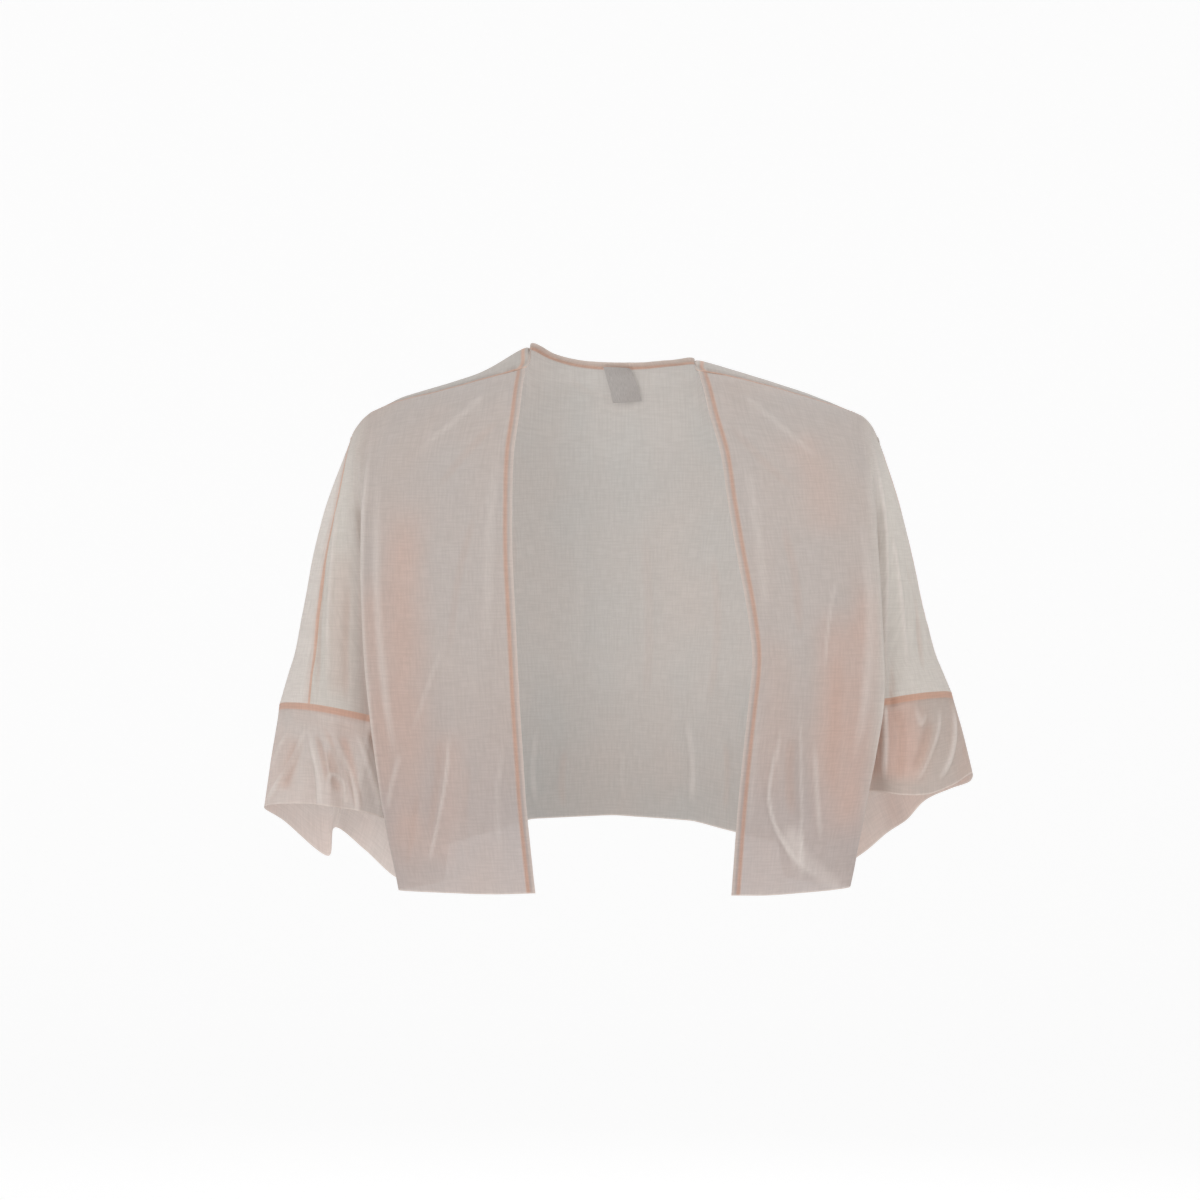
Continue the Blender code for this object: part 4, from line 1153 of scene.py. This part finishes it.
def stitches(name, tree, line):
    """A row of stitches along a line, on the outer side of the cloth."""
    spots = evenly(line, LINE_END, LINE_END, STITCH + STITCH_GAP)
    points, faces = [], []
    for a, b in zip(spots, spots[1:]):
        along = (b - a) / np.linalg.norm(b - a)
        middle = on_cloth(tree, (a + b) / 2, -THREAD_RISE)
        out = middle - on_cloth(tree, (a + b) / 2, THREAD_RISE)
        out /= np.linalg.norm(out)
        beside = np.cross(along, out)
        ends = [middle + along * reach - out * THREAD for reach in (-STITCH / 2, STITCH / 2)]
        ring = [middle + THREAD * (math.cos(t) * beside + math.sin(t) * out) for t in AROUND_THREAD]
        n = len(points)
        points += [ends[0], *ring, ends[1]]
        tip = n + THREAD_SIDES + 1
        for k in range(THREAD_SIDES):
            here, following = n + 1 + k, n + 1 + (k + 1) % THREAD_SIDES
            faces += [(n, following, here), (tip, here, following)]
    mesh = bpy.data.meshes.new(name)
    mesh.from_pydata((np.array(points) * MM).tolist(), [], faces)
    mesh.polygons.foreach_set("use_smooth", [True] * len(faces))
    return add_piece(name, mesh, [])


print("one stitch is", STITCH, "mm long")

# %% Rows of stitches
# The column of a strip that its stitches run along
EDGE_STITCH = 7
SEAM_STITCH = 1
for side in ("right", "left"):
    for row, under, strip_name, column in (
        ("edge_", side, "turned_edge_", EDGE_STITCH),
        ("shoulder_", "back", "shoulder_allowance_", SEAM_STITCH),
        ("cuff_", "cuff_" + side, "cuff_allowance_", SEAM_STITCH),
    ):
        stitches("stitches_" + row + side, trees[under], strips[strip_name + side][:, column])
stitches("stitches_neck", trees["back"], strips["turned_neck"][:, EDGE_STITCH])
faces_made = sum(len(piece.data.polygons) for name, piece in pieces.items() if name.startswith("stitches"))
print("stitches made:", faces_made // (2 * THREAD_SIDES))

# %% [markdown]
# ## The label
# A small satin label hangs inside the back of the neck by its upper edge. It is left blank. Its own weight
# swings it a little to one side and lets its lower end stand off the back, so it catches the light
# differently from the cloth. Its lower end is folded under and stitched.

# %% A blank satin label
LABEL_WIDTH = 27.0
LABEL_LENGTH = 37.0
LABEL_ROWS, LABEL_COLUMNS = 25, 19
LABEL_CORNER = (-8.5, 5.5)  # x and z of its upper right corner
LABEL_SWING = 10.0  # how far its lower end has swung to the left
LABEL_DEPTH = 5.0  # how far inside the back it hangs, and how much farther at its lower end
LABEL_STAND = 5.0
LABEL_TILT = 1.3
LABEL_CURL = 0.5
LABEL_WAVE, WAVE_ACROSS, WAVE_DOWN = 0.25, 5, 7
LABEL_FOLD = slice(-4, None)  # rows of the folded end
FOLD_RISE = 0.5


def label_row(down):
    row = []
    for across in np.linspace(0, 1, LABEL_COLUMNS):
        x = LABEL_CORNER[0] + LABEL_WIDTH * across + LABEL_SWING * down
        spot = (x, NECK["right"]["y"][0], LABEL_CORNER[1] - LABEL_LENGTH * down)
        hang = LABEL_STAND * down * (LABEL_TILT - across)
        curl = LABEL_CURL * math.sin(math.pi * across) * down
        wave = LABEL_WAVE * math.sin(WAVE_ACROSS * across + WAVE_DOWN * down)
        row.append(on_cloth(trees["back"], spot, LABEL_DEPTH + hang + curl + wave))
    return row


label = Net()
label_grid = np.array([label_row(down) for down in np.linspace(0, 1, LABEL_ROWS)])
numbers = label.add("label", label_grid, True)
label.weld()
numbers = label.number[numbers]
make_cloth("label_blank", label, EVERY, ["label"])

# The folded end is a second layer just in front of the first
folded = label.points[numbers[LABEL_FOLD]] + label.directions()[numbers[LABEL_FOLD]] * FOLD_RISE
label_end = Net()
label_end.add("label_end", folded, True)
label_end.weld()
make_cloth("label_fold", label_end, EVERY, [])
stitches("stitches_label", tree_of(label_end, EVERY), folded[1, 1:-1])
print("label", LABEL_WIDTH, "by", LABEL_LENGTH, "mm, blank")

# %% [markdown]
# ## The finish of sheer organza
# Organza is a plain weave of fine crisp threads with gaps between them. Some light goes through the gaps,
# some through the threads, and the rest scatters back. So the finish mixes three things: a clear part, a
# part that lets light through from behind, and a soft face with a little sheen. Slubs, the thicker
# stretches of thread, make faint streaks along both directions of the weave, and the dye is a little
# uneven, from a cool grey pink to a warmer blush.

# %% Nodes for the weave
def mark_of(tree, name):
    """One of the marks that the net left on each point."""
    attribute = tree.nodes.new("ShaderNodeAttribute")
    attribute.attribute_name = name
    return attribute.outputs["Fac"]


def noise_of(tree, place, scale, stretch, detail=3.0):
    """Noise that may be drawn out along one direction."""
    mapping = tree.nodes.new("ShaderNodeMapping")
    mapping.inputs["Scale"].default_value = stretch
    tree.links.new(place, mapping.inputs["Vector"])
    made = tree.nodes.new("ShaderNodeTexNoise")
    made.inputs["Scale"].default_value = scale
    made.inputs["Detail"].default_value = detail
    tree.links.new(mapping.outputs["Vector"], made.inputs["Vector"])
    return made.outputs["Fac"]


def spread(tree, value, from_low, from_high, low, high, soft=False):
    """A value moved from one range to another, with soft ends where it is asked for."""
    made = tree.nodes.new("ShaderNodeMapRange")
    made.interpolation_type = "SMOOTHSTEP" if soft else "LINEAR"
    ends = {"From Min": from_low, "From Max": from_high, "To Min": low, "To Max": high}
    for socket, number in ends.items():
        made.inputs[socket].default_value = number
    tree.links.new(value, made.inputs["Value"])
    return made.outputs["Result"]


def joined(tree, operation, first, *others):
    """Two or more values joined by one operation."""
    for other in others:
        made = tree.nodes.new("ShaderNodeMath")
        made.operation = operation
        tree.links.new(first, made.inputs[0])
        tree.links.new(other, made.inputs[1])
        first = made.outputs["Value"]
    return first


def tinted(tree, colour, tone, amount, blend="MIX"):
    """A colour mixed towards a tone by an amount. Both may be colours or what another node gives."""
    made = tree.nodes.new("ShaderNodeMix")
    made.data_type = "RGBA"
    made.blend_type = blend
    for socket, value in ((0, amount), (6, colour), (7, tone)):
        if isinstance(value, bpy.types.NodeSocket):
            tree.links.new(value, made.inputs[socket])
        else:
            made.inputs[socket].default_value = value
    return made.outputs[2]


def screen(r, g, b):
    """A colour given as a screen shows it, turned to the light it stands for."""
    return tuple(((c / 255 + 0.055) / 1.055) ** 2.4 for c in (r, g, b)) + (1.0,)


THREADS_PER_UNIT = 62.0  # scale of the weave on the threads' map
WEAVE_WANDER = 0.6  # how much the threads wander
WANDER_SIZE = 0.4


def weave_height(tree, threads):
    """Crossing threads, as the height of a plain weave."""
    heights = []
    for direction in ("X", "Y"):
        wave = tree.nodes.new("ShaderNodeTexWave")
        wave.wave_type = "BANDS"
        wave.bands_direction = direction
        wave.inputs["Scale"].default_value = THREADS_PER_UNIT
        wave.inputs["Distortion"].default_value = WEAVE_WANDER
        wave.inputs["Detail Scale"].default_value = WANDER_SIZE
        tree.links.new(threads, wave.inputs["Vector"])
        heights.append(wave.outputs["Fac"])
    return joined(tree, "MAXIMUM", *heights)


print("a screen's half tone is", round(screen(128, 128, 128)[0], 2), "of full light")

# %% [markdown]
# ## Sewing that shows through
# The marks of the net say how far each point is from a turned edge, a seam or a hem. The raw edge inside a
# turned edge shows as a peach line, seven millimetres in. An allowance shows as a peach band, and a rolled
# hem as a narrow pale line. Where a crease is sharp, its ridge gets a painted highlight and the trough
# beside it a warm painted shade.

# %% Tones and sewing lines of the sheer cloth
# Painted light: a highlight for the ridges of sharp creases and a warm shade for their troughs
CREASE_HIGHLIGHT = screen(240, 232, 226)
CREASE_SHADE = screen(206, 172, 156)
WARM_LAYERS = screen(221, 193, 181)
PEACH_SEAM = screen(230, 180, 152)
PALE_FOLD = screen(236, 224, 216)
THIN_GRAIN = (0.90, 0.895, 0.89, 1)  # what the cloth's tone is multiplied by between slubs, and on them
FULL_GRAIN = (1.0, 1.0, 1.0, 1)

# Distances in mm from the edge, the seam or the hem between which a line comes in or fades
TURNED_LINE = (3.4, 6.2, 7.0, 9.8)
TURNED_FOLD = (1.5, 4.0)
HEM_ROLL = (0.8, 1.9)
PRESSED = (-1.4, 0.6)  # from the allowance's own width

# From one value to another, and how strong the tone is at each
DYE = (0.32, 0.68, 0.0, 1.0)
LAYERS = (0.3, 0.6, 0.35, 0.9)
TROUGH_SHADE = (-0.2, -1.0, 0.0, 0.36)
RIDGE_HIGHLIGHT = (0.15, 1.0, 0.0, 0.65)
SLUBS = (0.14, 0.36, 0.0, 1.0)
ROUGHNESS = (0.15, 0.4, 0.62, 0.8)
CLOSED = (0.1, 1.0, 1.0, 0.5)  # less of the cloth is clear on a ridge, and hardly any on a seam
SEWN_SHUT = (0.0, 1.0, 1.0, 0.2)
CLEAR = (0.04, 0.11)  # the least and the most of the cloth that is clear

BLOTCH = (11.0, (1, 1, 0.6), 5.0)  # scale, stretch and detail of the uneven dye
SLUB_SCALE = 6.0
SLUB_DOWN, SLUB_ACROSS = (10.0, 0.9, 1.0), (0.9, 10.0, 1.0)
print("at most", CLEAR[1], "of the cloth is clear")


# %% Sheer cloth
def cloth_finish(name, cool, warm, bright, through_share, allowance, peach):
    """Sheer woven cloth. through_share is what light passes through, and allowance is in millimetres."""
    material = bpy.data.materials.new(name)
    material.use_nodes = True
    tree = material.node_tree
    tree.nodes.clear()
    threads = tree.nodes.new("ShaderNodeUVMap")
    threads.uv_map = "threads"
    threads = threads.outputs["UV"]
    place = tree.nodes.new("ShaderNodeTexCoord").outputs["Object"]
    fold = mark_of(tree, "fold")

    blotch = noise_of(tree, place, *BLOTCH)
    slubs = [noise_of(tree, threads, SLUB_SCALE, stretch) for stretch in (SLUB_DOWN, SLUB_ACROSS)]
    slubs = joined(tree, "MULTIPLY", *slubs)
    colour = tinted(tree, cool, warm, spread(tree, blotch, *DYE))
    # Painted light: the bright tone lightens the sleeves and the tops of the shoulders, and the lower back
    # keeps the darker tones as painted shade
    colour = tinted(tree, colour, bright, mark_of(tree, "bright"))
    layers = joined(tree, "MULTIPLY", mark_of(tree, "warm"), spread(tree, blotch, *LAYERS))
    colour = tinted(tree, colour, WARM_LAYERS, layers)
    # Painted shade in the troughs of sharp creases, then a painted highlight on their ridges, both read from
    # the fold mark
    colour = tinted(tree, colour, CREASE_SHADE, spread(tree, fold, *TROUGH_SHADE))
    colour = tinted(tree, colour, CREASE_HIGHLIGHT, spread(tree, fold, *RIDGE_HIGHLIGHT))

    edge, seam, hem = (mark_of(tree, mark) for mark in ("edge", "seam", "hem"))
    line_starts = spread(tree, edge, *TURNED_LINE[:2], 0.0, peach, soft=True)
    line_ends = spread(tree, edge, *TURNED_LINE[2:], 1.0, 0.0, soft=True)
    turned_line = joined(tree, "MULTIPLY", line_starts, line_ends)
    turned_fold = spread(tree, edge, *TURNED_FOLD, 0.5, 0.0, soft=True)
    pressed_ends = [allowance + beyond for beyond in PRESSED]
    pressed = spread(tree, seam, *pressed_ends, peach, 0.0, soft=True)
    rolled = spread(tree, hem, *HEM_ROLL, 0.6, 0.0, soft=True)
    colour = tinted(tree, colour, PEACH_SEAM, joined(tree, "MAXIMUM", turned_line, pressed))
    colour = tinted(tree, colour, PALE_FOLD, joined(tree, "MAXIMUM", turned_fold, rolled))
    grain = tinted(tree, THIN_GRAIN, FULL_GRAIN, spread(tree, slubs, *SLUBS))
    colour = tinted(tree, colour, grain, 1.0, "MULTIPLY")

    weave = weave_height(tree, threads)
    bump = tree.nodes.new("ShaderNodeBump")
    bump.inputs["Strength"].default_value = 0.35
    bump.inputs["Distance"].default_value = 0.0004
    height = joined(tree, "ADD", spread(tree, weave, 0.0, 1.0, 0.0, 0.5), slubs)
    tree.links.new(height, bump.inputs["Height"])

    face = tree.nodes.new("ShaderNodeBsdfPrincipled")
    face.inputs["Sheen Weight"].default_value = 0.2
    face.inputs["Sheen Roughness"].default_value = 0.5
    face.inputs["Specular IOR Level"].default_value = 0.2
    tree.links.new(colour, face.inputs["Base Color"])
    tree.links.new(spread(tree, slubs, *ROUGHNESS), face.inputs["Roughness"])
    tree.links.new(bump.outputs["Normal"], face.inputs["Normal"])
    back_light = tree.nodes.new("ShaderNodeBsdfTranslucent")
    tree.links.new(colour, back_light.inputs["Color"])
    tree.links.new(bump.outputs["Normal"], back_light.inputs["Normal"])
    lit = tree.nodes.new("ShaderNodeMixShader")
    lit.inputs[0].default_value = through_share
    tree.links.new(face.outputs[0], lit.inputs[1])
    tree.links.new(back_light.outputs[0], lit.inputs[2])

    sewn = joined(tree, "MAXIMUM", turned_line, turned_fold, pressed, rolled)
    gaps = spread(tree, weave, 0.0, 1.0, CLEAR[1], CLEAR[0])
    closed = spread(tree, fold, *CLOSED)
    clear_share = joined(tree, "MULTIPLY", gaps, closed, spread(tree, sewn, *SEWN_SHUT))
    mixed = tree.nodes.new("ShaderNodeMixShader")
    tree.links.new(clear_share, mixed.inputs[0])
    tree.links.new(lit.outputs[0], mixed.inputs[1])
    tree.links.new(tree.nodes.new("ShaderNodeBsdfTransparent").outputs[0], mixed.inputs[2])
    tree.links.new(mixed.outputs[0], tree.nodes.new("ShaderNodeOutputMaterial").inputs["Surface"])
    return material


# %% Finishes of the pieces
# Cool tone, warm tone and bright tone of each, on screen. The bright tone is painted light, and the back's
# darker cool and warm tones are painted shade on the same organza as the fronts. Then the share of light
# that comes through from behind, how far its seam allowance shows, and how peach its seams are.
TONES = {
    "front": ((196, 187, 184), (203, 187, 180), (226, 221, 214), 0.35, 3.2, 0.5),
    # the back's cool and warm tones are darkened as painted shade
    "back": ((180, 178, 174), (189, 179, 172), (238, 232, 226), 0.35, 3.2, 0.6),
    "cuff_right": ((220, 214, 209), (226, 209, 201), (236, 226, 218), 0.35, 6.4, 0.6),
    "cuff_left": ((204, 195, 188), (208, 188, 177), (226, 216, 206), 0.35, 6.4, 0.6),
    "strip": ((228, 216, 208), (234, 212, 200), (232, 216, 206), 0.3, 8.2, 0.45),
}
finishes = {}
for kind, (cool, warm, bright, *rest) in TONES.items():
    tones = [screen(*tone) for tone in (cool, warm, bright)]
    finishes[kind] = cloth_finish("sheer_cloth_" + kind, *tones, *rest)
print("finishes:", ", ".join(finishes))

# %% [markdown]
# ## Satin for the label, thread for the stitches
# Satin has long floats of thread on its face, so it is smooth along one direction and shines. The thread
# is a plain polyester in the tone of the seams.

# %% Satin and thread
FLOATS = (0.3, 0.7)  # from between two threads to the top of one


def twisted_finish(name, pale, dark, coordinates, scale, stretch, rough, sheen=0.0):
    """Smooth threads that lie side by side, with a shade between them."""
    material = bpy.data.materials.new(name)
    material.use_nodes = True
    tree = material.node_tree
    face = tree.nodes["Principled BSDF"]
    if coordinates == "threads":
        place = tree.nodes.new("ShaderNodeUVMap")
        place.uv_map = coordinates
        place = place.outputs["UV"]
    else:
        place = tree.nodes.new("ShaderNodeTexCoord").outputs["Object"]
    floats = noise_of(tree, place, scale, stretch, 2.0)
    tone = tinted(tree, pale, dark, spread(tree, floats, *FLOATS, 0.0, 1.0))
    tree.links.new(tone, face.inputs["Base Color"])
    tree.links.new(spread(tree, floats, *FLOATS, *rough), face.inputs["Roughness"])
    face.inputs["Sheen Weight"].default_value = sheen
    bump = tree.nodes.new("ShaderNodeBump")
    bump.inputs["Strength"].default_value = 0.25
    bump.inputs["Distance"].default_value = 0.0003
    tree.links.new(floats, bump.inputs["Height"])
    tree.links.new(bump.outputs["Normal"], face.inputs["Normal"])
    return material


SATIN = screen(186, 181, 178), screen(164, 159, 155)
THREAD_TONES = screen(222, 200, 186), screen(206, 176, 160)
finishes["label"] = twisted_finish("label_satin", *SATIN, "threads", 40.0, (6.0, 0.5, 1.0), (0.3, 0.42), 0.2)
finishes["stitches"] = twisted_finish(
    "sewing_thread", *THREAD_TONES, "object", 900.0, (1.0, 1.0, 1.0), (0.45, 0.6)
)
for name, piece in pieces.items():
    kinds = [kind for kind in finishes if name.removeprefix("cloth_").startswith(kind)]
    piece.data.materials.append(finishes[kinds[0] if kinds else "strip"])
print("pieces with a finish:", len(pieces))

# %% [markdown]
# ## What was cut
# A maker needs the flat size of each sheet. The area is measured on the cloth as it hangs, since organza
# doesn't stretch, and the width and length are those of the rectangle that it is cut from.

# %% Flat sizes of the sheets
SHOULDER_SEAMS = ["shoulder_allowance_right", "shoulder_allowance_left"]
CUT = {
    "cloth_back": ((0.86, 0.56), SHOULDER_SEAMS, ["stitches_neck"]),
    "cloth_front_right": ((0.42, 0.56), ["shoulder_allowance_right"], ["stitches_edge_right"]),
    "cloth_front_left": ((0.42, 0.56), ["shoulder_allowance_left"], ["stitches_edge_left"]),
    "cloth_cuff_right": ((0.44, 0.14), ["cuff_allowance_right"], ["stitches_cuff_right"]),
    "cloth_cuff_left": ((0.44, 0.14), ["cuff_allowance_left"], ["stitches_cuff_left"]),
    "label_blank": ((0.027, 0.044), ["turned_neck"], ["label_fold", "stitches_label"]),
}
for name, (flat, hangs_from, goes_with) in CUT.items():
    area = cloth_area(pieces[name])
    share = area / (flat[0] * flat[1])
    print(name, "is", round(area, 4), "square metres,", round(100 * share), "% of its rectangle")

# %% The strips' names, split into kind and side
for name in strips:
    kind, _, side = name.rpartition("_")

# %% [markdown]
# ## Studio
# The jacket keeps the shape that it has on a wearer, who isn't there, so nothing stands under it. It is
# seen against a plain pale sweep, a floor that curves up into a wall all round, in soft even light. One
# broad light from above in front gives the folds their form, and weaker ones fill from the side and rear.

# %% A pale sweep
FLOOR = -1.35
SWEEP_RADIUS = 7.0
SWEEP_HEIGHT = 6.0
CURVE = 1.5
AROUND = 96
profile = [(0.02, FLOOR), (3.0, FLOOR), (SWEEP_RADIUS - CURVE, FLOOR)]
for a in np.linspace(0.1, math.pi / 2, 12):
    profile.append((SWEEP_RADIUS - CURVE + CURVE * math.sin(a), FLOOR + CURVE - CURVE * math.cos(a)))
profile.append((SWEEP_RADIUS, SWEEP_HEIGHT))
turns = np.linspace(0, 2 * math.pi, AROUND + 1)[:-1]
spots = [(r * math.cos(a), r * math.sin(a), z) for r, z in profile for a in turns]
quads = []
for ring in range(len(profile) - 1):
    for k in range(AROUND):
        a, b = ring * AROUND + k, ring * AROUND + (k + 1) % AROUND
        quads.append((a, b, b + AROUND, a + AROUND))
sweep_mesh = bpy.data.meshes.new("sweep")
sweep_mesh.from_pydata(spots, [], quads)
sweep_mesh.polygons.foreach_set("use_smooth", [True] * len(quads))
sweep = bpy.data.objects.new("sweep", sweep_mesh)
bpy.context.scene.collection.objects.link(sweep)
paper = bpy.data.materials.new("pale_paper")
paper.use_nodes = True
paper_face = paper.node_tree.nodes["Principled BSDF"]
paper_face.inputs["Base Color"].default_value = (0.93, 0.93, 0.93, 1)
paper_face.inputs["Roughness"].default_value = 0.9
paper_face.inputs["Emission Color"].default_value = (1, 1, 1, 1)
paper_face.inputs["Emission Strength"].default_value = 0.2
sweep_mesh.materials.append(paper)
sweep.visible_shadow = False
sweep.visible_diffuse = False
print("the sweep's floor is", -FLOOR, "m below the neck")

# %% Soft light and the camera
world = bpy.data.worlds.new("studio")
world.use_nodes = True
world.node_tree.nodes["Background"].inputs["Color"].default_value = (1, 1, 1, 1)
world.node_tree.nodes["Background"].inputs["Strength"].default_value = 0.80
bpy.context.scene.world = world
AIM = Vector((0, 0, -0.2))


def soft_light(name, place, size, watts):
    data = bpy.data.lights.new(name, "AREA")
    data.shape = "DISK"
    data.size = size
    data.energy = watts
    lamp = bpy.data.objects.new(name, data)
    lamp.location = place
    lamp.rotation_mode = "QUATERNION"
    lamp.rotation_quaternion = (AIM - Vector(place)).to_track_quat("-Z", "Y")
    bpy.context.scene.collection.objects.link(lamp)


soft_light("key_light", (-1.3, -3.0, 0.3), 1.6, 24)
soft_light("side_light", (2.6, -1.6, 0.1), 1.4, 12)
soft_light("rear_light", (0.6, 2.8, 1.4), 1.6, 14)

camera_data = bpy.data.cameras.new("camera")
camera_data.sensor_width = 36
camera_data.lens = 111.7
camera_data.clip_end = 50
camera = bpy.data.objects.new("camera", camera_data)
camera.location = (-0.0113, -3.5, -0.220)
camera.rotation_euler = (math.pi / 2, 0, 0)
bpy.context.scene.collection.objects.link(camera)
bpy.context.scene.camera = camera
bpy.context.scene.view_settings.view_transform = "Standard"
print("camera", tuple(round(v, 3) for v in camera.location), "lens", round(camera_data.lens, 1))
